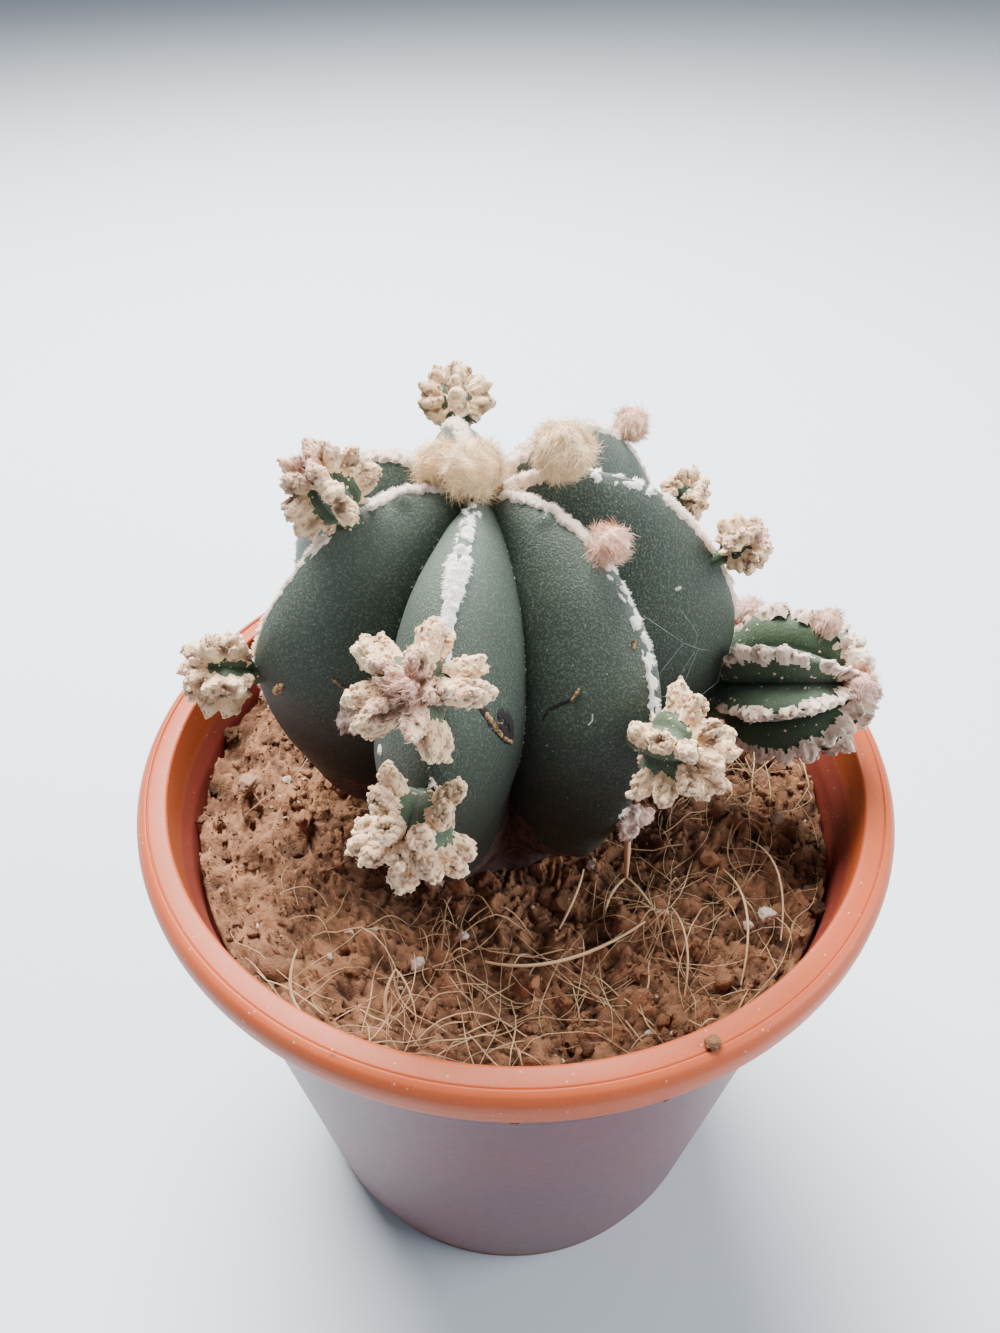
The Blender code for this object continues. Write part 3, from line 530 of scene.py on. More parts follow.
def wool_tree():
    """Hairs that grow from a surface along its comb vectors, each a tapered ribbon that bends back."""
    tree, given, out = new_tree(
        "Wool hairs", "GeometryNodeTree",
        (("Surface", GEOMETRY, None), ("Density", NUMBER, 1e7), ("Length", NUMBER, 0.001),
         ("Width", NUMBER, 0.00008), ("Bend", NUMBER, 0.3), ("Taper", NUMBER, 0.85),
         ("Unruliness", NUMBER, 0.4), ("Segments", COUNT, 2), ("Seed", COUNT, 1),
         ("Wool", "NodeSocketMaterial", None)),
        (("Wool", GEOMETRY),),
    )
    seed = given["Seed"]
    points = add(tree, "GeometryNodeDistributePointsOnFaces", {"Mesh": given["Surface"], "Seed": seed})
    link(tree, times(tree, given["Density"], named(tree, "growth")), points.inputs["Density"])
    rows = plus(tree, given["Segments"], 1)
    sheet = add(
        tree, "GeometryNodeMeshGrid", {"Size X": 1.0, "Size Y": 1.0, "Vertices X": 2, "Vertices Y": rows}
    ).outputs[0]
    place = add(tree, "ShaderNodeSeparateXYZ", {0: add(tree, "GeometryNodeInputPosition").outputs[0]})
    along = plus(tree, place.outputs[1], 0.5)
    taper = minus(tree, 1.0, times(tree, calc(tree, "POWER", along, 1.6), given["Taper"]))
    width = calc(tree, "DIVIDE", given["Width"], given["Length"])
    across = times(tree, times(tree, place.outputs[0], taper), width)
    back = times(tree, calc(tree, "POWER", along, 2.0), times(tree, given["Bend"], -1.0))
    shape = add(tree, "ShaderNodeCombineXYZ", {0: back, 1: across, 2: along}).outputs[0]
    hair = add(tree, "GeometryNodeSetPosition", {"Geometry": sheet, "Position": shape}).outputs[0]
    unruly = random_vector(tree, given["Unruliness"], seed)
    lean = vector_sum(tree, named(tree, "comb", "FLOAT_VECTOR"), unruly)
    upright = add(tree, "FunctionNodeAlignRotationToVector", {"Vector": lean}, axis="Z")
    faced = add(
        tree, "FunctionNodeAlignRotationToVector",
        {"Rotation": upright.outputs[0], "Vector": vector_sum(tree, points.outputs["Normal"], unruly)},
        axis="X", pivot_axis="Z",
    )
    length = times(tree, given["Length"], named(tree, "growth"))
    length = times(tree, length, random_number(tree, 0.5, 1.3, plus(tree, seed, 5)))
    hairs = add(
        tree, "GeometryNodeInstanceOnPoints",
        {"Points": points.outputs[0], "Instance": hair, "Rotation": faced.outputs[0], "Scale": length},
    ).outputs[0]
    hairs = store(tree, hairs, "tint", random_number(tree, 0.0, 1.0, plus(tree, seed, 9)), "INSTANCE")
    both = add(tree, "GeometryNodeJoinGeometry")
    for part in (hairs, given["Surface"]):
        tree.links.new(part, both.inputs[0])
    ending(tree, both.outputs[0], given["Wool"], out)
    return tree


def lump_tree():
    """Small uneven lumps scattered on a surface, part sunk in it."""
    tree, given, out = new_tree(
        "Scattered lumps", "GeometryNodeTree",
        (("Surface", GEOMETRY, None), ("Density", NUMBER, 1e6), ("Smallest", NUMBER, 0.0002),
         ("Largest", NUMBER, 0.0006), ("Flatness", NUMBER, 1.0), ("Roughness", NUMBER, 0.3),
         ("Subdivisions", COUNT, 1), ("Seed", COUNT, 1), ("Keep Surface", "NodeSocketBool", True),
         ("Finish", "NodeSocketMaterial", None)),
        (("Lumps", GEOMETRY),),
    )
    seed = given["Seed"]
    points = add(tree, "GeometryNodeDistributePointsOnFaces", {"Mesh": given["Surface"], "Seed": seed})
    link(tree, times(tree, given["Density"], named(tree, "growth")), points.inputs["Density"])
    ball = add(
        tree, "GeometryNodeMeshIcoSphere", {"Radius": 1.0, "Subdivisions": given["Subdivisions"]}
    ).outputs[0]
    ball = add(tree, "GeometryNodeSetShadeSmooth", {"Geometry": ball}).outputs[0]
    small = random_number(tree, 0.0, 1.0, plus(tree, seed, 3))
    small = calc(tree, "POWER", small, 2.2)
    spread = minus(tree, given["Largest"], given["Smallest"])
    size = calc(tree, "MULTIPLY_ADD", small, spread, given["Smallest"])
    tall = times(tree, size, given["Flatness"])
    stretch = random_number(tree, 0.75, 1.35, plus(tree, seed, 4))
    scale = add(tree, "ShaderNodeCombineXYZ", {0: times(tree, size, stretch), 1: size, 2: tall}).outputs[0]
    facing = vector_sum(tree, points.outputs["Normal"], random_vector(tree, 0.5, plus(tree, seed, 6)))
    upright = add(tree, "FunctionNodeAlignRotationToVector", {"Vector": facing}, axis="Z").outputs[0]
    lumps = add(
        tree, "GeometryNodeInstanceOnPoints",
        {"Points": points.outputs[0], "Instance": ball, "Rotation": upright, "Scale": scale},
    ).outputs[0]
    lumps = store(tree, lumps, "tint", random_number(tree, 0.0, 1.0, plus(tree, seed, 9)), "INSTANCE")
    lumps = store(tree, lumps, "lump_size", size, "INSTANCE")
    lumps = add(tree, "GeometryNodeRealizeInstances", {"Geometry": lumps}).outputs[0]
    where = add(tree, "GeometryNodeInputPosition").outputs[0]
    uneven = noise_texture(tree, where, 1400.0)["Color"]
    uneven = add(tree, "ShaderNodeVectorMath", {0: uneven, 1: (0.5, 0.5, 0.5)}, operation="SUBTRACT").outputs[0]
    moved = add(tree, "ShaderNodeVectorMath", {0: uneven}, operation="SCALE")
    reach = times(tree, named(tree, "lump_size"), given["Roughness"])
    link(tree, times(tree, reach, 4.0), moved.inputs[3])
    lumps = add(tree, "GeometryNodeSetPosition", {"Geometry": lumps, "Offset": moved.outputs[0]}).outputs[0]
    kept = add(
        tree, "GeometryNodeSwitch", {"Switch": given["Keep Surface"], "True": given["Surface"]},
        input_type="GEOMETRY",
    )
    both = add(tree, "GeometryNodeJoinGeometry")
    for part in (lumps, kept.outputs[0]):
        tree.links.new(part, both.inputs[0])
    ending(tree, both.outputs[0], given["Finish"], out)
    return tree


def fibre_tree():
    """Round fibres along the lines of a mesh, as thick as each point says."""
    tree, given, out = new_tree(
        "Fibres on lines", "GeometryNodeTree",
        (("Lines", GEOMETRY, None), ("Sides", COUNT, 4), ("Finish", "NodeSocketMaterial", None)),
        (("Fibres", GEOMETRY),),
    )
    lines = add(tree, "GeometryNodeMeshToCurve", {"Mesh": given["Lines"]}).outputs[0]
    lines = add(
        tree, "GeometryNodeSetCurveRadius", {"Curve": lines, "Radius": named(tree, "thickness")}
    ).outputs[0]
    section = add(
        tree, "GeometryNodeCurvePrimitiveCircle", {"Resolution": given["Sides"], "Radius": 1.0}
    ).outputs[0]
    sweep = add(tree, "GeometryNodeCurveToMesh", {"Curve": lines, "Profile Curve": section, "Fill Caps": True})
    link(tree, named(tree, "thickness"), sweep.inputs["Scale"])
    swept = add(tree, "GeometryNodeSetShadeSmooth", {"Geometry": sweep.outputs[0]}).outputs[0]
    ending(tree, swept, given["Finish"], out)
    return tree


# Shader groups

def speckle_group():
    """Small scattered specks: 1 in a speck and 0 between them."""
    tree, given, out = new_tree(
        "Specks", "ShaderNodeTree",
        (("Place", "NodeSocketVector", None), ("Specks per Metre", NUMBER, 2500.0), ("Amount", NUMBER, 0.3),
         ("Patchiness", NUMBER, 0.5)),
        (("Mask", NUMBER),),
    )
    cells = add(
        tree, "ShaderNodeTexVoronoi",
        {"Vector": given["Place"], "Scale": given["Specks per Metre"], "Randomness": 1.0},
    )
    chance = add(tree, "ShaderNodeSeparateColor", {0: cells.outputs["Color"]}).outputs[0]
    patches = noise_texture(tree, given["Place"], 260.0, 3.0)[0]
    patches = times(tree, minus(tree, patches, 0.5), given["Patchiness"])
    wanted = plus(tree, given["Amount"], patches)
    chosen = calc(tree, "LESS_THAN", chance, wanted)
    size = calc(tree, "MULTIPLY_ADD", chance, 0.25, 0.22)
    inside = minus(tree, 1.0, between(tree, times(tree, size, 0.5), size, cells.outputs["Distance"]))
    link(tree, times(tree, chosen, inside, clamp=True), out[0])
    return tree


def tone_group():
    """Slow changes of tone over a surface, from 0 to 1, with finer grain in them."""
    tree, given, out = new_tree(
        "Uneven tone", "ShaderNodeTree",
        (("Place", "NodeSocketVector", None), ("Patches per Metre", NUMBER, 60.0),
         ("Grain per Metre", NUMBER, 1500.0), ("Grain", NUMBER, 0.3)),
        (("Tone", NUMBER), ("Grain", NUMBER)),
    )
    slow = noise_texture(tree, given["Place"], given["Patches per Metre"], 4.0)[0]
    grain = noise_texture(tree, given["Place"], given["Grain per Metre"], 3.0, 0.6)[0]
    share = times(tree, minus(tree, grain, 0.5), given["Grain"])
    tone = plus(tree, between(tree, 0.3, 0.7, slow), share, clamp=True)
    link(tree, tone, out[0])
    link(tree, grain, out[1])
    return tree


def use_group(tree, name, **inputs):
    made = add(tree, "ShaderNodeGroup", node_tree=bpy.data.node_groups[name])
    feed(tree, made, **inputs)
    return made.outputs


def speckles(tree, place, per_metre, amount, patchiness):
    return use_group(
        tree, "Specks", Place=place, Specks_per_Metre=per_metre, Amount=amount, Patchiness=patchiness
    )[0]


def uneven_tone(tree, place, patches, grains, grain):
    """Slow tone and fine grain, with so many patches and grains to a metre."""
    return use_group(
        tree, "Uneven tone", Place=place, Patches_per_Metre=patches, Grain_per_Metre=grains, Grain=grain
    )


def new_material(name, roughness, **fixed):
    """A material with its shader, and the place on the surface that its textures use."""
    material = bpy.data.materials.new(name)
    material.use_nodes = True
    tree = material.node_tree
    shader = tree.nodes["Principled BSDF"]
    feed(tree, shader, Roughness=roughness, **fixed)
    place = add(tree, "ShaderNodeTexCoord").outputs["Object"]
    return material, tree, shader, place


def bump(tree, shader, height, distance, strength=1.0):
    made = add(tree, "ShaderNodeBump", {"Height": height, "Distance": distance, "Strength": strength})
    tree.links.new(made.outputs[0], shader.inputs["Normal"])


def attribute(tree, title):
    return add(tree, "ShaderNodeAttribute", attribute_name=title).outputs["Fac"]


# Settings

def colour_property(name, description, default):
    return bpy.props.FloatVectorProperty(
        name=name, description=description, default=default, size=3, min=0, max=1, subtype="COLOR"
    )


def number_property(name, description, default, **kind):
    return bpy.props.FloatProperty(name=name, description=description, default=default, min=0, **kind)


class PotSettings(bpy.types.PropertyGroup):
    sides: bpy.props.IntProperty(name="Sides", description="Facets round the pot", default=150, min=24)
    plastic: colour_property("Plastic", "Colour of the pot's plastic", (0.40, 0.076, 0.024))
    painted_shade_lining: colour_property("Lining", "Colour of the pot's shaded inside", (0.22, 0.040, 0.028))
    # Haze: partly a real dull film, partly painted reflection of the pale surroundings and painted shade, which
    # turn the wall mauve-grey
    haze_and_painted_reflection: colour_property("Haze", "Colour of the dull film on the wall", (0.078, 0.049, 0.072))
    # Foot: painted shade, the wall darker towards its bottom
    foot: colour_property("Foot", "Colour of the wall's lowest part", (0.13, 0.045, 0.032))
    dust: colour_property("Dust", "Colour of the specks on the rim", (0.80, 0.62, 0.52))


class SoilSettings(bpy.types.PropertyGroup):
    light: colour_property("Dry peat", "Colour of dry crumbs", (0.31, 0.150, 0.078))
    # Damp peat: the peat's dark colour, also used for painted shade in the creases and on the right
    dark_peat_and_shade: colour_property("Damp peat", "Colour of damp hollows", (0.040, 0.017, 0.010))
    fibre: colour_property("Coir", "Colour of the coir fibres", (0.62, 0.44, 0.25))
    clod_density: number_property("Clods", "Loose clods on each square metre", 2.6e4)
    crumb_density: number_property("Crumbs", "Loose crumbs on each square metre", 3.2e5)
    fibres: bpy.props.IntProperty(name="Fibres", description="Loose coir fibres", default=330, min=0)


class SkinSettings(bpy.types.PropertyGroup):
    green: colour_property("Skin", "Grey-green of the body", (0.040, 0.063, 0.042))
    # Deep skin: painted shade, low on the body
    shade: colour_property("Deep skin", "Green low on the body and in its furrows", (0.006, 0.011, 0.007))
    # Bloom: painted sky light, paler on the upward faces
    painted_sky_light: colour_property("Bloom", "Colour of the pale bloom on its upper side", (0.26, 0.31, 0.27))
    fleck: colour_property("Flecks", "Colour of the fine woolly flecks", (0.30, 0.35, 0.31))
    cork: colour_property("Cork", "Colour of the corky foot", (0.085, 0.044, 0.033))
    young: colour_property("Young skin", "Green of the side heads", (0.044, 0.084, 0.038))
    fleck_density: number_property("Flecks", "Raised flecks on each square metre", 4e5)


class WoolSettings(bpy.types.PropertyGroup):
    white: colour_property("White wool", "Colour of the whitest felt", (0.94, 0.92, 0.89))
    cream: colour_property("Cream wool", "Colour of older felt", (0.90, 0.72, 0.54))
    yellow: colour_property("Crown wool", "Colour of the crown's balls", (0.95, 0.76, 0.48))
    pink: colour_property("Pink wool", "Colour of young woolly buds", (0.72, 0.44, 0.36))
    # Old wool: also used for painted shade in the hollows of the heads' crusts
    brown: colour_property("Old wool", "Colour of dried crusts", (0.20, 0.11, 0.06))
    hair_width: number_property(
        "Hair width", "Width of a hair at its root", 0.075 * MM, subtype="DISTANCE", unit="LENGTH"
    )


class StageSettings(bpy.types.PropertyGroup):
    floor: colour_property("Floor", "Colour of the floor", (0.62, 0.68, 0.74))
    key: number_property("Window", "Power of the main light", 38, unit="POWER")
    fill: number_property("Fill", "Power of the light at the right", 10.0, unit="POWER")
    sky: number_property("Sky", "Strength of the pale surroundings", 0.33)


SETTINGS = (
    ("cactus_pot", PotSettings), ("cactus_soil", SoilSettings), ("cactus_skin", SkinSettings),
    ("cactus_wool", WoolSettings), ("cactus_stage", StageSettings),
)


# Pot

def rounded(profile, steps):
    """Points along a profile of (radius, height, rounding) corners, rounded less where its sides are short."""
    points = [np.array(corner[:2], float) for corner in profile]
    made = [points[0]]
    for before, corner, after, (_, _, radius) in zip(points, points[1:], points[2:], profile[1:]):
        back, on = before - corner, after - corner
        reach = min(radius, 0.42 * np.linalg.norm(back), 0.42 * np.linalg.norm(on))
        start, end = corner + back / np.linalg.norm(back) * reach, corner + on / np.linalg.norm(on) * reach
        for t in np.linspace(0, 1, steps):
            made.append((1 - t) ** 2 * start + 2 * t * (1 - t) * corner + t**2 * end)
    return made + [points[-1]]


def pot_profile():
    """Radius, height and rounding of each corner, from the inner floor up, over the rim, down and under."""
    inner_base = BASE_RADIUS - PLASTIC
    inner_collar = COLLAR_RADIUS - PLASTIC
    soft = 0.7 * MM
    return (
        (0, FLOOR_TOP, 0),
        (inner_base - 1.5 * MM, FLOOR_TOP, soft),
        (inner_base, FLOOR_TOP + 1.2 * MM, soft),
        (inner_collar - PLASTIC, COLLAR_FOOT - 0.4 * MM, soft),
        (inner_collar, COLLAR_FOOT + 0.8 * MM, soft),
        (inner_collar + 0.3 * MM, RIM_LINE - 6.5 * MM, soft),
        (inner_collar + 1.4 * MM, RIM_LINE - 3.5 * MM, soft),
        (inner_collar + 1.9 * MM, RIM_LINE + 2.15 * MM, 0.45 * MM),
        (RIM_RADIUS - 1.80 * MM, RIM_LINE + 1.95 * MM, 0.1 * MM),
        (RIM_RADIUS - 1.65 * MM, RIM_LINE + 1.78 * MM, 0.05 * MM),
        (RIM_RADIUS - 1.50 * MM, RIM_LINE + 2.10 * MM, 0.15 * MM),
        (RIM_RADIUS - 0.80 * MM, RIM_LINE + 1.80 * MM, 0.5 * MM),
        (RIM_RADIUS - 0.18 * MM, RIM_LINE + 0.95 * MM, 0.5 * MM),
        (RIM_RADIUS, RIM_LINE, 0.6 * MM),
        (RIM_RADIUS - 0.08 * MM, RIM_LINE - 1.6 * MM, 0.8 * MM),
        (RIM_RADIUS - 0.45 * MM, RIM_LINE - 2.7 * MM, 0.5 * MM),
        (RIM_RADIUS - 1.0 * MM, RIM_LINE - 3.2 * MM, 0.3 * MM),
        (RIM_RADIUS - 1.6 * MM, RIM_LINE - 3.1 * MM, 0.2 * MM),
        (RIM_RADIUS - 1.7 * MM, RIM_LINE + 0.2 * MM, 0.3 * MM),
        (COLLAR_RADIUS + 1.7 * MM, RIM_LINE + 0.2 * MM, 0.3 * MM),
        (COLLAR_RADIUS + 1.5 * MM, RIM_LINE - 3.4 * MM, soft),
        (COLLAR_RADIUS + 0.2 * MM, RIM_LINE - 6.4 * MM, soft),
        (COLLAR_RADIUS, COLLAR_FOOT, soft),
        (COLLAR_RADIUS - PLASTIC, COLLAR_FOOT - 1.4 * MM, soft),
        (BASE_RADIUS + 0.2 * MM, 4 * MM, soft),
        (BASE_RADIUS - 0.6 * MM, 2.6 * MM, 0.4 * MM),
        (BASE_RADIUS - 0.8 * MM, 0, 0.4 * MM),
        (BASE_RADIUS - 4.8 * MM, 0, 0.4 * MM),
        (BASE_RADIUS - 5.0 * MM, 1.8 * MM, 0.4 * MM),
        (0, 1.8 * MM, 0),
    )


def turned(name, profile, sides):
    """A solid turned about Z from a profile of (radius, height) points."""
    mesh = bpy.data.meshes.new(name)
    edges = [(i, i + 1) for i in range(len(profile) - 1)]
    mesh.from_pydata([(radius, 0, height) for radius, height in profile], edges, [])
    item = object_from_mesh(name, mesh)
    tool = item.modifiers.new("turn", "SCREW")
    tool.steps = tool.render_steps = sides
    tool.use_merge_vertices = True
    tool.merge_threshold = 0.00001
    tool.use_smooth_shade = True
    bake(item)
    bm = bmesh.new()
    bm.from_mesh(item.data)
    bmesh.ops.recalc_face_normals(bm, faces=bm.faces)
    bm.to_mesh(item.data)
    bm.free()
    return item


def plastic_material(settings):
    material, tree, shader, place = new_material(
        "terracotta_plastic", 0.4, Specular_IOR_Level=0.22, Coat_Roughness=0.3
    )
    across = add(tree, "ShaderNodeSeparateXYZ", {0: place}).outputs
    height = across[2]
    flat = add(tree, "ShaderNodeCombineXYZ", {0: across[0], 1: across[1]}).outputs[0]
    radius = add(tree, "ShaderNodeVectorMath", {0: flat}, operation="LENGTH").outputs["Value"]
    tone = uneven_tone(tree, place, 45.0, 900.0, 0.25)
    specks = speckles(tree, place, 1500.0, 0.13, 0.4)
    fine = speckles(tree, place, 4200.0, 0.16, 0.6)
    grit = speckles(tree, place, 420.0, 0.03, 0.15)
    plain = blend(tree, times(tree, tone[0], 0.35), settings.plastic, (0.50, 0.120, 0.045))
    below = between(tree, RIM_LINE - 2.9 * MM, RIM_LINE - 4.4 * MM, height)
    wall = calc(tree, "GREATER_THAN", calc(tree, "MULTIPLY_ADD", height, WALL_SLOPE, radius), WALL_LINE)
    # Mauve film on the outer wall below the rim: partly a real dull film, partly painted reflection of the pale
    # surroundings and painted shade
    film_and_painted_reflection = times(tree, times(tree, below, wall), calc(tree, "MULTIPLY_ADD", tone[0], 0.10, 0.80))
    # Painted shade: the pot's inside below the rim darker than its plastic
    inside = times(tree, below, minus(tree, 1.0, wall))
    plain = blend(tree, inside, plain, settings.painted_shade_lining)
    hazed_and_painted_light = blend(tree, film_and_painted_reflection, plain, settings.haze_and_painted_reflection)
    feed(tree, shader, Coat_Weight=times(tree, film_and_painted_reflection, 0.16))
    # Painted shade: the wall darker towards its bottom
    foot = times(tree, between(tree, 0.012, 0.002, height), 0.75)
    hazed_and_painted_light = blend(tree, foot, hazed_and_painted_light, settings.foot)
    dusty = calc(tree, "MAXIMUM", times(tree, specks, 0.34), times(tree, fine, 0.24))
    dusty = times(tree, dusty, calc(tree, "MULTIPLY_ADD", film_and_painted_reflection, -0.75, 1.0))
    dusted = blend(tree, dusty, hazed_and_painted_light, settings.dust)
    dirty = blend(tree, times(tree, grit, 0.7), dusted, (0.12, 0.06, 0.035))
    feed(tree, shader, Base_Color=dirty)
    rough = calc(tree, "MULTIPLY_ADD", dusty, 0.35, calc(tree, "MULTIPLY_ADD", tone[1], 0.14, 0.36))
    feed(tree, shader, Roughness=rough)
    line = add(tree, "ShaderNodeCombineXYZ", {2: height}).outputs[0]
    lathe = noise_texture(tree, line, 1800.0)[0]
    relief = plus(tree, times(tree, lathe, 0.35), times(tree, dusty, 0.6))
    bump(tree, shader, relief, 0.00006)
    return material


class MakePot(bpy.types.Operator):
    """Turn the pot's shell, with its collar, rolled rim and drain holes"""

    bl_idname = "cactus.make_pot"
    bl_label = "Pot"

    def execute(self, context):
        settings = context.scene.cactus_pot
        shell = turned("pot_shell", rounded(pot_profile(), 4), settings.sides)
        drains = bmesh.new()
        for number in range(DRAIN_HOLES):
            bmesh.ops.create_cone(
                drains, cap_ends=True, segments=28, radius1=DRAIN_RADIUS, radius2=DRAIN_RADIUS, depth=12 * MM,
                matrix=Matrix.Translation(ray(360 * number / DRAIN_HOLES, 90) * DRAIN_CIRCLE),
            )
        cutter = object_from_bmesh("drain_cutter", drains)
        tool = shell.modifiers.new("drain holes", "BOOLEAN")
        tool.operation = "DIFFERENCE"
        tool.object = cutter
        bake(shell)
        bpy.data.objects.remove(cutter, do_unlink=True)
        shell.data.set_sharp_from_angle(angle=math.radians(60))
        hand_over(shell, plastic_material(settings), "pot", "pot")
        return {"FINISHED"}


# Soil

def soil_height(x, y):
    """Height of the soil's uneven top, heaped a little towards the back left of the pot."""
    flat = np.stack([x, y, np.zeros_like(x)], -1)
    coarse = noise_at(flat, 9 * MM)
    fine = noise_at(flat, 3.7 * MM, np.array((7, 3, 1)))
    heap = np.maximum(0.0, -x * 0.8 + y * 0.3 - 16 * MM) * 0.14
    return SOIL_LEVEL + SOIL_LUMP * (coarse + 0.7 * fine) + heap


def crumbly_height(x, y):
    """The soil's top with rounded clods, crumbs and grain parted by dark creases, calmer on the left."""
    flat = np.stack([x, y, np.zeros_like(x)], -1)
    warp = np.stack([noise_at(flat, 2.6 * MM, 11.0), noise_at(flat, 2.6 * MM, 23.0), np.zeros_like(x)], -1)
    bent = flat + warp * 1.8 * MM
    clods = np.abs(noise_at(bent, 3.3 * MM, 3.0))
    crumbs = np.abs(noise_at(bent, 1.35 * MM, 5.0))
    grain = np.abs(noise_at(bent, 0.6 * MM, 2.0))
    calm = soft_step(8 * MM, -22 * MM, x)
    rise = (2.2 - 0.7 * calm) * clods + (2.0 - 0.5 * calm) * crumbs + 1.3 * grain - 1.0
    return soil_height(x, y) + rise * MM


def peat_material(settings):
    material, tree, shader, place = new_material("peat_and_coir", 0.96, Specular_IOR_Level=0.25)
    tone = uneven_tone(tree, place, 160.0, 2600.0, 0.9)
    fine = noise_texture(tree, place, 900.0, 5.0, 0.7)[0]
    x = add(tree, "ShaderNodeSeparateXYZ", {0: place}).outputs[0]
    # Painted light and shade: the soil lighter on the left and darker on the right, in the plant's shade
    painted_light_left = between(tree, 0.045, -0.035, x)
    tint = attribute(tree, "tint")
    share = plus(tree, times(tree, tone[0], 0.40), calc(tree, "MULTIPLY_ADD", painted_light_left, 0.25, 0.15))
    share = plus(tree, share, times(tree, minus(tree, tint, 0.5), 0.35))
    # Painted shade and light: the soil darker in its creases and lighter on its crumbs' tops
    proud = times(tree, minus(tree, attribute(tree, "proud"), 0.45), 1.5)
    share = plus(tree, share, proud, clamp=True)
    colour = blend(tree, share, settings.dark_peat_and_shade, settings.light)
    ochre = between(tree, 0.55, 0.8, tone[1])
    colour = blend(tree, times(tree, ochre, 0.35), colour, (0.42, 0.25, 0.13))
    straw = speckles(tree, place, 1300.0, 0.06, 0.3)
    colour = blend(tree, times(tree, straw, 0.5), colour, settings.fibre)
    pale = times(tree, between(tree, 0.965, 0.985, tint), 0.8)
    colour = blend(tree, pale, colour, (0.66, 0.56, 0.46))
    feed(tree, shader, Base_Color=colour)
    bump(tree, shader, plus(tree, fine, tone[1]), 0.0003)
    return material


def coir_material(settings):
    material, tree, shader, place = new_material("coir_fibre", 0.7)
    tone = uneven_tone(tree, place, 220.0, 3000.0, 0.5)
    old = blend(tree, tone[0], settings.fibre, (0.30, 0.17, 0.085))
    colour = blend(tree, between(tree, 0.35, 0.95, attribute(tree, "tint")), old, settings.fibre)
    feed(tree, shader, Base_Color=colour)
    bump(tree, shader, tone[1], 0.00005)
    return material


def lines_object(name, lines):
    """A mesh of open lines from (points, radius, tint) rows, tapered towards their ends."""
    points, edges, thickness, tints = [], [], [], []
    for line, radius, tint in lines:
        first, count = len(points), len(line)
        points.extend(line)
        edges.extend((first + i, first + i + 1) for i in range(count - 1))
        t = np.linspace(0, 1, count)
        thickness.extend(radius * (0.35 + 0.65 * np.sin(np.pi * np.clip(t * 0.85 + 0.12, 0, 1)) ** 0.6))
        tints.extend([tint] * count)
    mesh = bpy.data.meshes.new(name)
    mesh.from_pydata([tuple(p) for p in points], edges, [])
    name_numbers(mesh, thickness=thickness, tint=tints)
    return object_from_mesh(name, mesh)


def curved_line(start, heading, length, bend, count, lift=0.0):
    """Points on the soil along a line that turns steadily and rises in its middle."""
    t = np.linspace(0, 1, count)
    turn = heading + bend * (t - 0.5) + 0.14 * np.sin(t * 7 + heading * 3)
    step = length / (count - 1)
    x = start[0] + np.concatenate([[0], np.cumsum(np.cos(turn[:-1]) * step)])
    y = start[1] + np.concatenate([[0], np.cumsum(np.sin(turn[:-1]) * step)])
    radius = np.hypot(x, y)
    inside = FIBRE_REACH / np.maximum(radius, FIBRE_REACH)
    x, y = x * inside, y * inside
    return np.stack([x, y, soil_height(x, y) + lift * np.sin(np.pi * t) + 0.5 * MM], -1)


def arched(points, count):
    """A smooth line through three points given in millimetres."""
    first, middle, last = (np.array(p, float) for p in points)
    t = np.linspace(0, 1, count)[:, None]
    bend = 2 * middle - (first + last) / 2
    return ((1 - t) ** 2 * first + 2 * t * (1 - t) * bend + t**2 * last) * MM


def soil_fibres(count):
    chance = random.Random(FIBRE_SEED)
    lines = []
    for number in range(count):
        bearing = chance.uniform(0, 360) if number % 4 == 0 else chance.uniform(235, 400)
        distance = (18 + 24 * chance.random() ** 0.7) * MM
        start = ray(bearing, 90) * distance
        length = (4 + 14 * chance.random() ** 1.5) * MM
        lift = chance.choice((0.0, 0.4, 1.0, 1.8, 2.8)) * MM
        line = curved_line(start, chance.uniform(0, math.tau), length, chance.uniform(-1.5, 1.5), 9, lift)
        lines.append((line, chance.choice((0.04, 0.05, 0.07, 0.10)) * MM, chance.random()))
    for points, radius in STOUT_FIBRES:
        lines.append((arched(points, 12), radius * MM, 1.0))
    return lines


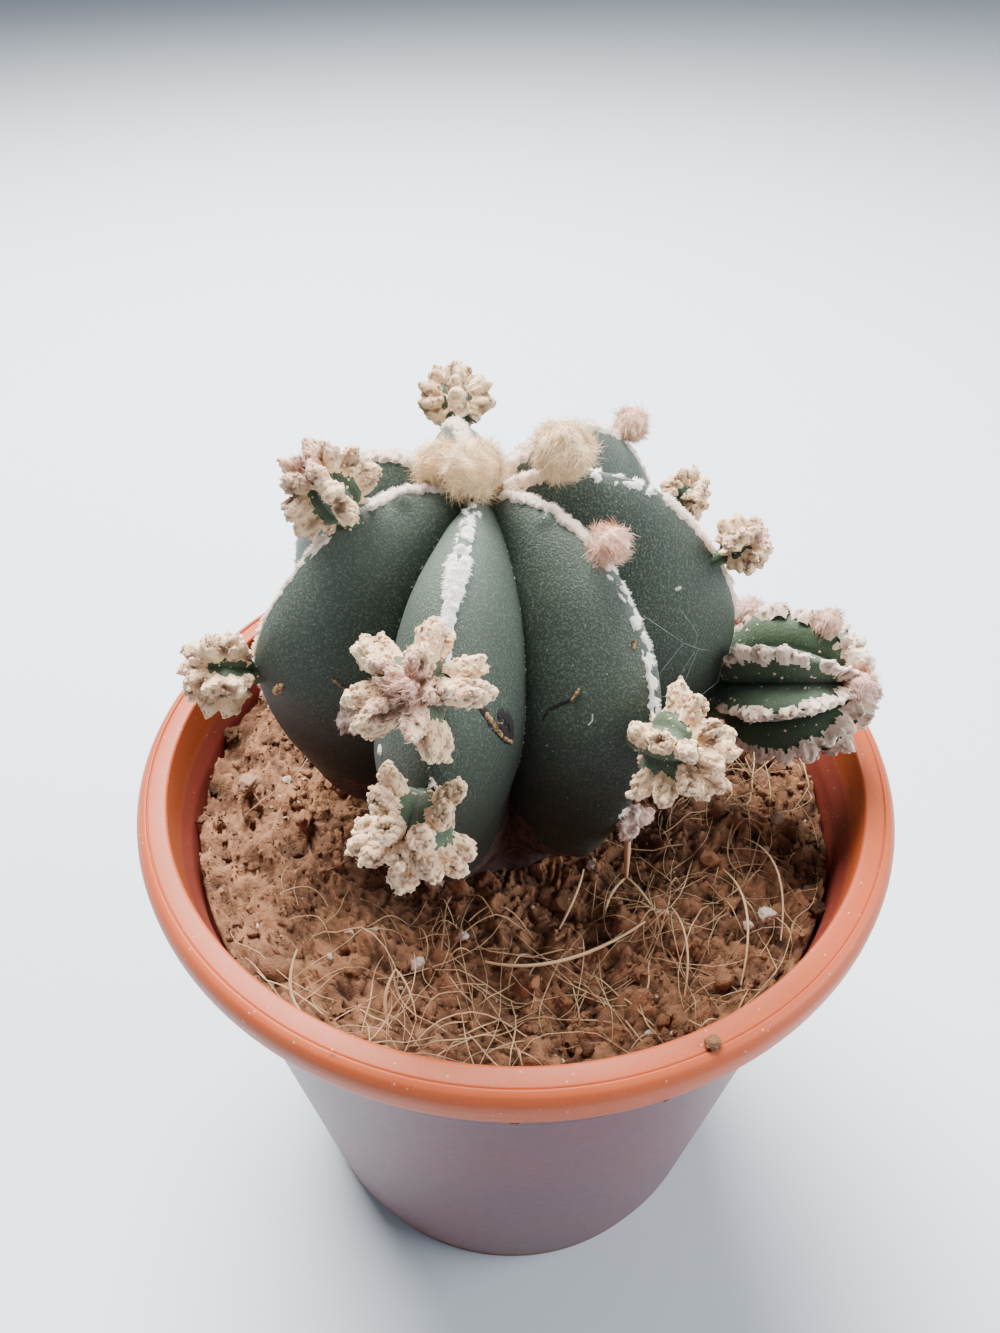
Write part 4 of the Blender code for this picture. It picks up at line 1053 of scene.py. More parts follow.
class MakeSoil(bpy.types.Operator):
    """Fill the pot with crumbly peat, loose clods and crumbs, and drop a little dirt on the pot"""

    bl_idname = "cactus.make_soil"
    bl_label = "Soil"

    def execute(self, context):
        settings = context.scene.cactus_soil
        columns, wall = 370, PLASTIC + SOIL_GAP
        collar, foot = COLLAR_RADIUS - wall, BASE_RADIUS - wall
        top = np.concatenate([[0.02, 3, 6, 9], np.linspace(11.5, collar / MM, 112)]) * MM
        below = (
            (collar, COLLAR_FOOT + MM), (collar - PLASTIC, COLLAR_FOOT - 0.4 * MM),
            (foot, FLOOR_TOP + 1.5 * MM), (foot - 1.5 * MM, FLOOR_TOP + 0.3 * MM),
            (0.02 * MM, FLOOR_TOP + 0.3 * MM),
        )
        turn = np.linspace(0, math.tau, columns, endpoint=False)
        radius = np.concatenate([top, [r for r, _ in below]])[:, None]
        x, y = radius * np.cos(turn), radius * np.sin(turn)
        z = np.repeat([[height] for height in [0.0] * len(top) + [h for _, h in below]], columns, 1)
        coarse = soil_height(x[:len(top)], y[:len(top)])
        z[:len(top)] = crumbly_height(x[:len(top)], y[:len(top)])
        # How far each point stands above the coarse soil, for painted shade in the creases
        proud = np.full(x.shape, 0.5)
        proud[:len(top)] = np.clip(0.5 + (z[:len(top)] - coarse) / (2.4 * MM), 0, 1)
        points = np.stack([x, y, z], -1)
        faces = grid_faces(len(radius), columns, True)
        growth = soft_step(*BODY_RING, np.hypot(x - BODY_CENTRE[0], y - BODY_CENTRE[1]))
        growth[len(top):] = 0
        values = {"proud": proud, "growth": growth, "tint": np.full(x.shape, 0.5)}
        mesh = mesh_from("soil_bed", points, faces, values)
        bed = object_from_mesh("soil_bed", mesh)
        peat = peat_material(settings)
        loose = (
            ("soil_clods", settings.clod_density, 0.7, 1.7, 2, CLOD_SEED),
            ("soil_crumbs", settings.crumb_density, 0.16, 0.55, 1, CRUMB_SEED),
        )
        for name, density, smallest, largest, subdivisions, seed in loose:
            crumbs = object_from_mesh(name, mesh.copy())
            run_tree(
                crumbs, "Scattered lumps", density=density, smallest=smallest * MM,
                largest=largest * MM, flatness=0.75, roughness=0.7, subdivisions=subdivisions, seed=seed,
                keep_surface=False, finish=peat,
            )
            hand_over(crumbs, peat, "soil")
        hand_over(bed, peat, "soil", "soil")
        bm = bmesh.new()
        tints = []
        for place, size, flatness, tint in SOIL_BITS:
            spot = Vector(place) * MM
            outward = Vector((spot.x, spot.y, 0)).normalized() if flatness < 0.5 else Vector((0, 0, 1))
            tints += [tint] * len(blob(bm, spot, size * MM, 3, 0.45, flatness, outward))
        bits = object_from_bmesh("soil_bits", bm, smooth=True)
        name_numbers(bits.data, tint=tints, proud=[0.5] * len(tints))
        hand_over(bits, peat, "soil")
        return {"FINISHED"}


class MakeFibres(bpy.types.Operator):
    """Lay loose coir fibres on the soil"""

    bl_idname = "cactus.make_fibres"
    bl_label = "Coir fibres"

    def execute(self, context):
        settings = context.scene.cactus_soil
        coir = coir_material(settings)
        fibres = lines_object("coir_fibres", soil_fibres(settings.fibres))
        run_tree(fibres, "Fibres on lines", sides=4, finish=coir)
        hand_over(fibres, coir, "soil")
        return {"FINISHED"}


# Body

def crest_azimuth(rib, angle):
    azimuths = RIBS[rib % len(RIBS)][0]
    return smooth_curve(tuple(zip(RIB_ANGLES, azimuths)), angle) + 360 * (rib // len(RIBS))


def crest_reach(rib, angle):
    profile = smooth_curve(CREST_PROFILE, angle)
    share = RIBS[rib % len(RIBS)][1] / NOMINAL_REACH
    grown = smooth_curve(((0, 0), (40, 1), (125, 1), (155, 0)), angle)
    return profile * (1 + (share - 1) * grown) * MM


def half_rib_turn(rib, side, angle):
    return (crest_azimuth(rib + side, angle) - crest_azimuth(rib, angle)) / 2


def skin_points(rib, part, angle):
    """Points on the skin: part is 0 on a rib's crest, and -1 and 1 in the furrows beside it."""
    part, angle = np.broadcast_arrays(np.asarray(part, float), np.asarray(angle, float))
    made = np.zeros(part.shape + (3,))
    for side in (-1, 1):
        here = (part < 0) if side < 0 else (part >= 0)
        if not here.any():
            continue
        tilt, share = angle[here], np.abs(part[here])
        crest = crest_reach(rib, tilt)
        furrow = (crest + crest_reach(rib + side, tilt)) / 2 * smooth_curve(FURROW_SHARE, tilt)
        ways = rays(crest_azimuth(rib, tilt) + share * half_rib_turn(rib, side, tilt), tilt)
        reach = furrow + (crest - furrow) * (1 - share**FLANK_ROUNDNESS)
        reach = reach + SKIN_NOISE * noise_at(ways * 3.1, 1.0)
        for azimuth, centre, wide, rise in KNOBS:
            off = np.linalg.norm(ways - rays(azimuth, centre), axis=-1)
            reach = reach + rise * MM * np.exp(-((np.degrees(off) / wide) ** 2))
        made[here] = BODY_CENTRE + ways * reach[..., None]
    return made


def skin_at(azimuth, angle, out=0.0):
    """Point on the skin, or a distance out from it, at an azimuth and angle."""
    for rib in range(len(RIBS)):
        off = (azimuth - float(crest_azimuth(rib, angle)) + 180) % 360 - 180
        part = off / abs(float(half_rib_turn(rib, 1 if off >= 0 else -1, angle)))
        if abs(part) <= 1:
            return Vector(skin_points(rib, [part], [angle])[0] + rays(azimuth, angle) * out)
    raise ValueError("no rib at this azimuth")


def skin_normal(azimuth, angle):
    here = skin_at(azimuth, angle)
    normal = (skin_at(azimuth, angle + 0.4) - here).cross(skin_at(azimuth + 0.4, angle) - here).normalized()
    return normal if normal.dot(here - Vector(BODY_CENTRE)) > 0 else -normal


def body_normals(points):
    """Outward unit normals of a grid of points, from its own slopes."""
    down, across = np.gradient(points, axis=0), np.gradient(points, axis=1)
    normal = np.cross(down, across)
    normal /= np.maximum(np.linalg.norm(normal, axis=-1, keepdims=True), 1e-12)
    outward = np.sum(normal * (points - BODY_CENTRE), -1, keepdims=True)
    return normal * np.sign(outward)


def skin_material(settings):
    material, tree, shader, place = new_material(
        "grey_green_skin", 0.62, Specular_IOR_Level=0.28, Sheen_Weight=0.13, Sheen_Roughness=0.35,
        Sheen_Tint=(0.80, 0.92, 0.84),
    )
    tone = uneven_tone(tree, place, 70.0, 3600.0, 0.5)
    dots = speckles(tree, place, 4600.0, 0.45, 0.8)
    large = speckles(tree, place, 1700.0, 0.07, 0.3)
    height = add(tree, "ShaderNodeSeparateXYZ", {0: place}).outputs[2]
    # Painted shade: the skin darker low on the body, and its flecks fainter there
    low = between(tree, 0.114, 0.092, height)
    # Painted sky light: the skin paler where it faces up
    upward = attribute(tree, "upward")
    share = plus(tree, times(tree, low, 0.85), times(tree, tone[0], 0.22), clamp=True)
    colour = blend(tree, share, settings.green, settings.shade)
    painted_sky_light = calc(tree, "MULTIPLY_ADD", upward, 0.34, 0.02)
    colour = blend(tree, painted_sky_light, colour, settings.painted_sky_light)
    pebbles = between(tree, 0.50, 0.62, tone[1])
    flecks = calc(tree, "MAXIMUM", times(tree, dots, 0.30), times(tree, large, 0.5))
    flecks = calc(tree, "MAXIMUM", flecks, times(tree, pebbles, 0.22))
    flecks = times(tree, flecks, calc(tree, "MULTIPLY_ADD", low, -0.85, 1.0))
    colour = blend(tree, flecks, colour, settings.fleck)
    # Painted shade: the skin darker along the furrows
    line = attribute(tree, "furrow")
    colour = blend(tree, times(tree, line, 0.8), colour, (0.012, 0.022, 0.012))
    bark = noise_texture(tree, place, 420.0, 5.0, 0.65)[0]
    cork = plus(tree, attribute(tree, "cork"), times(tree, minus(tree, bark, 0.5), 0.9))
    cork = between(tree, 0.35, 0.65, cork)
    bark_colour = blend(tree, between(tree, 0.35, 0.65, bark), (0.030, 0.012, 0.010), settings.cork)
    colour = blend(tree, cork, colour, bark_colour)
    feed(tree, shader, Base_Color=colour)
    rough = calc(tree, "MULTIPLY_ADD", cork, 0.3, 0.55)
    feed(tree, shader, Roughness=rough)
    relief = plus(tree, times(tree, tone[1], 1.1), times(tree, flecks, 0.5))
    relief = plus(tree, relief, times(tree, times(tree, cork, bark), 5.0))
    bump(tree, shader, relief, 0.00012)
    return material


def fleck_material(settings):
    material, tree, shader, _ = new_material("skin_flecks", 0.95)
    colour = blend(tree, attribute(tree, "tint"), settings.fleck, (0.075, 0.10, 0.08))
    feed(tree, shader, Base_Color=colour)
    return material


class MakeBody(bpy.types.Operator):
    """Grow the seven-ribbed body with its furrows, flecks and corky foot"""

    bl_idname = "cactus.make_body"
    bl_label = "Body"

    def execute(self, context):
        settings = context.scene.cactus_skin
        angles = np.concatenate([[0.02], np.linspace(1.0, 140, 158), [144, 149, 155, 161, 167, 173, 179.98]])
        t = np.linspace(-1, 1, 36, endpoint=False)
        parts = t - np.sin(2 * np.pi * t) / (2 * np.pi) * 0.55  # closer together at the crest and the furrows
        part, angle = np.meshgrid(parts, angles)
        points = np.concatenate([skin_points(rib, part, angle) for rib in range(len(RIBS))], axis=1)
        part, angle = np.tile(part, len(RIBS)), np.tile(angle, len(RIBS))
        out = points - BODY_CENTRE
        out /= np.linalg.norm(out, axis=-1, keepdims=True)
        foot = angle + 9 * noise_at(out, 0.28, 4.0) + 5 * (1 - np.abs(part))
        cork = soft_step(112, 126, foot)
        furrow = np.clip((np.abs(part) - 0.93) / 0.07, 0, 1) ** 2 * soft_step(6, 16, angle)
        # How far each point faces up, for the painted sky light
        upward = soft_step(0.25, 1.0, body_normals(points)[..., 2])
        rough = 0.5 * cork * noise_at(points, 1.6 * MM, 9.0) + 0.25 * cork * noise_at(points, 0.7 * MM)
        points = points + out * (rough * MM)[..., None]
        growth = (1 - cork) * soft_step(122, 100, angle) * (0.35 + 0.65 * soft_step(100, 40, angle))
        values = {"cork": cork, "furrow": furrow, "upward": upward, "growth": growth}
        mesh = mesh_from("cactus_skin_body", points, grid_faces(*points.shape[:2], True), values)
        body = object_from_mesh("cactus_skin_body", mesh)
        flecks = object_from_mesh("skin_flecks", mesh.copy())
        fleck = fleck_material(settings)
        run_tree(
            flecks, "Scattered lumps", density=settings.fleck_density, smallest=0.04 * MM,
            largest=0.10 * MM, flatness=0.6, roughness=0.1, subdivisions=1, seed=FLECK_SEED,
            keep_surface=False, finish=fleck,
        )
        hand_over(body, skin_material(settings), "cactus_skin", "cactus_body")
        hand_over(flecks, fleck, "cactus_skin")
        return {"FINISHED"}


class MakeMarks(bpy.types.Operator):
    """Lay corky scars, dead patches and furrow dots on the skin, and spin the cobweb"""

    bl_idname = "cactus.make_marks"
    bl_label = "Scars and cobweb"

    def execute(self, context):
        chance = random.Random(MARK_SEED)
        bm = bmesh.new()
        tints = []
        for tint, half_width, proud, line in MARKS:
            for (azimuth, angle), (next_azimuth, next_angle) in zip(line, line[1:]):
                start, end = skin_at(azimuth, angle), skin_at(next_azimuth, next_angle)
                steps = max(2, round((end - start).length / (0.5 * half_width * MM)))
                for t in np.linspace(0, 1, steps):
                    wide = half_width * chance.uniform(0.7, 1.2)
                    spot = (azimuth + (next_azimuth - azimuth) * t + chance.uniform(-0.4, 0.4) * wide,
                            angle + (next_angle - angle) * t + chance.uniform(-0.4, 0.4) * wide)
                    normal = skin_normal(*spot)
                    shape = blob(bm, skin_at(*spot), wide * MM, 2, 0.5, proud / half_width, normal)
                    tints += [tint + chance.uniform(-0.08, 0.08)] * len(shape)
        for rib in range(len(RIBS)):
            for _ in range(34):
                angle = chance.uniform(14, 90)
                furrow = float(crest_azimuth(rib, angle) + half_rib_turn(rib, 1, angle))
                azimuth = furrow + chance.uniform(-1.2, 1.2)
                centre = Vector(skin_points(rib, [0.97], [angle])[0])
                dot = blob(bm, centre, chance.uniform(0.05, 0.13) * MM, 1, 0.2)
                tints += [0.8] * len(dot)
        scars = object_from_bmesh("skin_scars", bm, smooth=True)
        name_numbers(scars.data, tint=tints)
        material, tree, shader, place = new_material("scarred_skin", 0.8)
        bark = noise_texture(tree, place, 2200.0, 4.0)[0]
        tint = attribute(tree, "tint")
        corky = blend(tree, between(tree, 0.4, 0.62, bark), (0.46, 0.29, 0.13), (0.12, 0.055, 0.022))
        colour = blend(tree, between(tree, 0.2, 0.32, tint), (0.010, 0.008, 0.009), corky)
        colour = blend(tree, between(tree, 0.62, 0.75, tint), colour, (0.52, 0.56, 0.40))
        colour = blend(tree, between(tree, 0.86, 0.92, tint), colour, (0.86, 0.84, 0.80))
        feed(tree, shader, Base_Color=colour)
        bump(tree, shader, bark, 0.0002)
        hand_over(scars, material, "cactus_skin")
        threads = []
        for line in COBWEB:
            spots = [skin_at(azimuth, angle, out * MM) for azimuth, angle, out in line]
            for start, end in zip(spots, spots[1:]):
                threads.append(([tuple(start.lerp(end, t)) for t in np.linspace(0, 1, 5)], 0.022 * MM, 1.0))
        silk = new_material("cobweb", 0.5, Base_Color=(0.55, 0.60, 0.58), Alpha=0.65)[0]
        web = run_tree(lines_object("cobweb", threads), "Fibres on lines", sides=3, finish=silk)
        hand_over(web, silk, "cactus_skin")
        return {"FINISHED"}


# Felt and wool

def wool_material(name, settings, light, deep, crust=0.0, whiteness=None):
    """Wool: hairs of slightly different tones, pink where they are young and browner in their crusts."""
    material, tree, shader, place = new_material(
        name, 0.95, Specular_IOR_Level=0.2, Sheen_Weight=0.3, Sheen_Roughness=0.5
    )
    tone = uneven_tone(tree, place, 420.0, 3000.0, 0.5)
    tint = attribute(tree, "tint")
    share = calc(tree, "MULTIPLY_ADD", tint, 0.4, times(tree, tone[0], 0.6), clamp=True)
    colour = blend(tree, share, light, deep)
    young = times(tree, attribute(tree, "pink"), 0.8, clamp=True)
    colour = blend(tree, young, colour, settings.pink)
    if whiteness:
        uneven = minus(tree, tone[0], 0.5)
        white = calc(tree, "MULTIPLY_ADD", uneven, 0.25, attribute(tree, whiteness), clamp=True)
        colour = blend(tree, white, colour, settings.white)
        pink = times(tree, attribute(tree, whiteness), -1.0, clamp=True)
        colour = blend(tree, pink, colour, settings.pink)
    if crust:
        spots = noise_texture(tree, place, 1300.0, 4.0)[0]
        brown = times(tree, between(tree, 0.53, 0.70, spots), crust)
        colour = blend(tree, brown, colour, settings.brown)
        rosy = times(tree, between(tree, 0.70, 0.95, tint), crust)
        colour = blend(tree, rosy, colour, (0.60, 0.36, 0.25))
        # Painted shade: brown in the hollows between the crust's nodules
        hollow = times(tree, attribute(tree, "hollow"), 0.85)
        colour = blend(tree, hollow, colour, settings.brown)
    feed(tree, shader, Base_Color=colour)
    bump(tree, shader, tone[1], 0.0001)
    return material


def open_sheet(name, points, faces, kept, values, vectors):
    """An object of only the kept faces of a grid."""
    mesh = mesh_from(name, points, faces[kept], values, vectors)
    bm = bmesh.new()
    bm.from_mesh(mesh)
    bmesh.ops.delete(bm, geom=[vert for vert in bm.verts if not vert.link_faces], context="VERTS")
    bmesh.ops.recalc_face_normals(bm, faces=bm.faces)
    bm.to_mesh(mesh)
    bm.free()
    return object_from_mesh(name, mesh)


def felt_grid(rib, spans):
    """Points, combing and cover of the felt on one rib's crest."""
    angles = np.arange(4.5, 116.0, 0.45)
    across = np.linspace(-1.6, 1.6, 19) * MM
    wide, tilt = np.meshgrid(across, angles)
    axis_reach = crest_reach(rib, tilt) * np.sin(np.radians(tilt))
    turn = np.where(wide < 0, -half_rib_turn(rib, -1, tilt), half_rib_turn(rib, 1, tilt))
    part = wide / np.maximum(axis_reach * np.radians(turn), MM)
    skin = skin_points(rib, np.clip(part, -1, 1), tilt)
    normal = body_normals(skin)
    lumps = np.abs(noise_at(skin, 0.9 * MM, 31.0)) * 2.2 - 0.5
    islands = cells_at(skin, 1.25 * MM, 57.0)
    jagged = noise_at(skin, 0.6 * MM, 13.0) + 0.5 * noise_at(skin, 0.25 * MM, 17.0)
    height, white = np.zeros(tilt.shape), np.zeros(tilt.shape)
    for start, end, half, cover, rise, tone in spans:
        there = soft_step(start - 0.8, start + 0.8, tilt) * soft_step(end + 0.8, end - 0.8, tilt)
        off = np.abs(wide) / MM
        if cover > 1:
            gap = 0.75 * soft_step(end, start, tilt)
            off = np.abs(off - gap) + 0.45 * soft_step(end, start, tilt)
            cover = 1
        edge = np.clip((half + 0.32 * jagged - off) / 0.22, 0, 1)
        patch = 1.0 if cover >= 1 else np.clip((0.32 + 0.58 * cover - islands + 0.12 * jagged) / 0.1, 0, 1)
        grown = there * edge * patch
        height = np.maximum(height, grown * rise * (0.7 + 0.45 * lumps))
        white = np.where(there > 0.5, tone, white)
    sideways = np.gradient(skin, axis=1)
    sideways /= np.maximum(np.linalg.norm(sideways, axis=-1, keepdims=True), 1e-12)
    down = np.gradient(skin, axis=0)
    down /= np.maximum(np.linalg.norm(down, axis=-1, keepdims=True), 1e-12)
    fringe = (wide / (1.2 * MM))[..., None]
    comb = normal * 0.8 + sideways * fringe * 0.8 + down * 0.35
    return skin + normal * (height * MM - 0.12 * MM)[..., None], comb, height, white


class MakeFelts(bpy.types.Operator):
    """Grow the felt along the ribs' crests, closed or in flecks"""

    bl_idname = "cactus.make_felts"
    bl_label = "Rib felt"

    def execute(self, context):
        wool = context.scene.cactus_wool
        felt = wool_material("rib_felt", wool, wool.cream, (0.68, 0.46, 0.32), whiteness="white")
        for rib, spans in enumerate(FELTS):
            points, comb, height, white = felt_grid(rib, spans)
            faces = grid_faces(*height.shape, False)
            covered = height.ravel()[faces].max(axis=1) > 0.05
            growth = np.where(height > 0.05, 1.0, 0.3)
            values = {"white": white, "growth": growth, "tint": np.full(white.shape, 0.5)}
            strip = open_sheet(f"felt_{rib + 1}", points, faces, covered, values, {"comb": comb})
            run_tree(
                strip, "Wool hairs", density=2.8e7, length=0.32 * MM, width=wool.hair_width,
                bend=0.2, taper=0.5, unruliness=0.35, segments=1, seed=rib + 1, wool=felt,
            )
            hand_over(strip, felt, "felt", f"rib_felt_{rib + 1}")
        return {"FINISHED"}


def blob(bm, centre, radius, subdivisions, lump, stretch=1.0, way=None):
    """Add an uneven ball to a mesh, drawn out or flattened along a direction."""
    made = bmesh.ops.create_icosphere(bm, subdivisions=subdivisions, radius=radius)["verts"]
    seed = Vector((centre.x, centre.y, centre.z)) * 900
    for vert in made:
        out = vert.co.normalized()
        uneven = noise.noise(out * 1.7 + seed) + 0.6 * noise.noise(out * 3.9 + seed)
        vert.co *= 1 + lump * uneven
        if way is not None and stretch != 1.0:
            vert.co += way * vert.co.dot(way) * (stretch - 1)
        vert.co += centre
    return made


def comb_out(mesh, centre, lay, swirl, growth=1.0, tip=None):
    """Comb a rounded mesh outwards in a swirl about an axis, with longer hair near its tip if one is given."""
    for title in ("comb", "growth"):
        if mesh.attributes.get(title):
            mesh.attributes.remove(mesh.attributes[title])
    co = np.array([vert.co[:] for vert in mesh.vertices]) - np.array(centre)
    out = co / np.maximum(np.linalg.norm(co, axis=1, keepdims=True), 1e-9)
    turn = np.stack([noise_at(out, 0.6, float(k) * 5 + 1) for k in range(3)], -1)
    around = np.cross(out, np.array(swirl) + turn * 1.6)
    comb = out * (1 - lay) + around * lay
    values = np.full(len(co), growth)
    if tip is not None:
        off_tip = np.degrees(np.arccos(np.clip(out @ np.array(tip), -1, 1)))
        values = growth * (0.25 + np.exp(-((off_tip / 34) ** 2)))
    name_vectors(mesh, comb=comb)
    name_numbers(mesh, growth=values)


def woolly_ball(name, centre, radius, seed, width, finish):
    """A ball of matted, curling wool."""
    bm = bmesh.new()
    blob(bm, centre, radius * 0.9, 5, 0.15)
    ball = object_from_bmesh(name, bm, smooth=True)
    swirl = Vector(rays(37 * seed, 60 + 23 * (seed % 5)))
    comb_out(ball.data, centre, 0.66, swirl)
    return run_tree(
        ball, "Wool hairs", density=4.2e7, length=min(0.5 * radius, 1.3 * MM), width=width,
        bend=0.75, taper=0.7, unruliness=0.5, segments=2, seed=seed, wool=finish,
    )


class MakeWoolBalls(bpy.types.Operator):
    """Wind the woolly balls at the crown and on the ribs"""

    bl_idname = "cactus.make_wool_balls"
    bl_label = "Woolly balls"

    def execute(self, context):
        wool = context.scene.cactus_wool
        finishes = {
            "crown": wool_material("crown_wool", wool, wool.yellow, (0.82, 0.58, 0.34)),
            "pink": wool_material("pink_wool", wool, (0.92, 0.68, 0.52), (0.66, 0.34, 0.23)),
        }
        for number, (name, node, azimuth, angle, reach, diameter, finish) in enumerate(WOOL_BALLS):
            centre = from_body_centre(azimuth, angle, reach)
            radius = diameter / 2 * MM
            hair_width = wool.hair_width * 0.85
            ball = woolly_ball(name, centre, radius, BALL_SEED + number, hair_width, finishes[finish])
            hand_over(ball, finishes[finish], f"{finish}_wool", node)
        return {"FINISHED"}


# Side heads

def upright_on(way, roll):
    return (way.to_track_quat("Z", "Y").to_matrix() @ Matrix.Rotation(roll, 3, "Z")).to_4x4()


def head_reach(radius, ribs, furrow, turn, tilt):
    """How far out a ribbed head's skin is, and how near to a crest (1) or a furrow (0)."""
    part = 1 - np.abs((turn * ribs / 360) % 1 - 0.5) * 2
    depth = (1 - furrow) * (1 - part) ** 1.4 * np.sin(np.radians(tilt)) ** 0.7
    return radius * (1 - depth), part


def ribbed_ball(name, radius, ribs, furrow, stalk, columns, rows):
    """A ribbed head about the origin, its crown at +Z and its stalk down -Z."""
    angles = np.concatenate([[0.05], np.linspace(0, 180, rows)[1:-1], [179.95]])
    turn, tilt = np.meshgrid(np.linspace(0, 360, columns * ribs, endpoint=False), angles)
    reach, part = head_reach(radius, ribs, furrow, turn, tilt)
    stalk_radius, stalk_length = stalk
    thin = np.minimum(stalk_length, stalk_radius / np.maximum(np.sin(np.radians(tilt)), 0.01))
    reach = np.where(tilt > 95, np.maximum(reach, thin), reach)
    ways = rays(turn, tilt)
    reach = reach * (1 + 0.03 * noise_at(ways * 2.5, 1.0, radius * 5000))
    furrows = np.clip((0.3 - part) / 0.3, 0, 1)
    mesh = mesh_from(name, ways * reach[..., None], grid_faces(*tilt.shape, True), {"furrow": furrows})
    return object_from_mesh(name, mesh)


def young_skin_material(settings):
    material, tree, shader, place = new_material(
        "young_green_skin", 0.6, Specular_IOR_Level=0.4, Sheen_Weight=0.3
    )
    tone = uneven_tone(tree, place, 300.0, 2600.0, 0.5)
    dots = speckles(tree, place, 4300.0, 0.45, 0.8)
    colour = blend(tree, times(tree, tone[0], 0.6), settings.young, (0.045, 0.080, 0.038))
    colour = blend(tree, times(tree, dots, 0.28), colour, settings.fleck)
    # Painted shade: the young skin darker along its furrows
    colour = blend(tree, times(tree, attribute(tree, "furrow"), 0.75), colour, (0.010, 0.018, 0.009))
    feed(tree, shader, Base_Color=colour)
    bump(tree, shader, plus(tree, tone[1], times(tree, dots, 0.4)), 0.0001)
    return material


def head_tufts(radius, knob, chance):
    """Directions of the knobs of wool along a head's ribs and at its crown, and how far they stand out."""
    tufts = [((0, 0, 1), CROWN_TUFT * radius)]
    for rib in range(HEAD_RIBS):
        crest = (rib + 0.5) * 360 / HEAD_RIBS
        for row in range(1, TUFT_ROWS + 1):
            way = rays(crest + chance.uniform(-4, 4), TUFT_STEP * row)
            proud = 1.06 + 0.06 * (knob - 1) * row
            size = TUFT_SHARE * chance.uniform(0.95, 1.15) * (1 + 0.4 * (knob - 1))
            tufts.append((way, (proud - 1 + size) * radius))
            chance.uniform(0, 6)  # the knob's own turn, which only the plain solids show
    return tufts


def crusty_coat(name, radius, ribs, furrow, look, tufts, seed):
    """A crust of wool on a head's crests, about the origin: lumpy, with ragged edges, drawn out into knobs."""
    angles = np.concatenate([[0.05], np.linspace(2.5, look["low"], look["rows"])])
    turn, tilt = np.meshgrid(np.linspace(0, 360, look["columns"], endpoint=False), angles)
    reach, part = head_reach(radius, ribs, furrow, turn, tilt)
    ways = rays(turn, tilt)
    spot = ways * radius
    size = look["lump"] * MM
    coarse = domes_at(spot, size, seed)
    fine = domes_at(spot, 0.5 * size, seed + 3.0)
    jagged = noise_at(spot, 0.6 * MM, seed + 7.0)
    knobs = np.zeros(tilt.shape)
    for way, proud in tufts:
        off = np.degrees(np.arccos(np.clip(ways @ np.array(way), -1, 1)))
        knobs = np.maximum(knobs, proud * np.exp(-((off / look["spread"]) ** 3)))
    across = (1 - part) * np.pi / ribs * reach * np.sin(np.radians(tilt))
    cover = np.clip((look["half"] * MM + 0.5 * MM * jagged - across) / (0.45 * MM), 0, 1)
    cover = cover * np.clip((look["cover"] + noise_at(spot, 1.2 * MM, seed + 11.0)) / 0.15, 0, 1)
    cover = np.maximum(cover, np.clip(knobs / (0.1 * radius) - 1, 0, 1))
    thick = cover * look["rise"] * MM * (1.0 * coarse + 0.45 * fine)
    thick = thick + look["knob"] * knobs * (0.35 + 0.6 * coarse + 0.2 * fine)
    points = ways * (reach - 0.15 * MM + thick)[..., None]
    faces = grid_faces(*tilt.shape, True)
    kept = cover.ravel()[faces].max(axis=1) > 0.02
    pink = look["pink"] * np.exp(-((tilt / 38) ** 2))
    # Hollows between the nodules, for painted shade
    hollow = np.clip(1.15 - coarse - 0.4 * fine, 0, 0.5) * 2 * cover
    values = {
        "growth": np.clip(cover, 0.02, 1), "tint": np.full(tilt.shape, 0.3), "pink": pink, "hollow": hollow,
    }
    return open_sheet(name, points, faces, kept, values, {})


def dust_core(core, name, density, seed, crust):
    """Scatter small crumbs of wool over a head's green skin."""
    crumbs = object_from_mesh(name, core.data.copy())
    name_numbers(crumbs.data, growth=np.ones(len(crumbs.data.vertices)))
    run_tree(
        crumbs, "Scattered lumps", density=density, smallest=0.06 * MM, largest=0.24 * MM,
        flatness=0.6, roughness=0.6, subdivisions=1, seed=seed, keep_surface=False, finish=crust,
    )
    return hand_over(crumbs, crust, "head_wool")


def grow_coat(coat, place, look, seed, width, crust):
    """Scatter crumbs of wool on a head's crust, then loose hairs, longest at its crown."""
    coat.data.transform(place)
    run_tree(
        coat, "Scattered lumps", density=look["crumbs"], smallest=0.10 * MM,
        largest=look["crumb"] * MM, flatness=0.85, roughness=0.6, subdivisions=1, seed=seed, keep_surface=True,
        finish=crust,
    )
    tip = place.to_3x3() @ Vector((0, 0, 1))
    comb_out(coat.data, place.to_translation(), 0.35, (0.2, 0.3, 0.9), look["hair"], tip)
    run_tree(
        coat, "Wool hairs", density=3.2e6, length=0.75 * MM, width=width, bend=0.3, taper=0.8,
        unruliness=0.6, segments=2, seed=seed + HAIR_STEP, wool=crust,
    )
    return coat


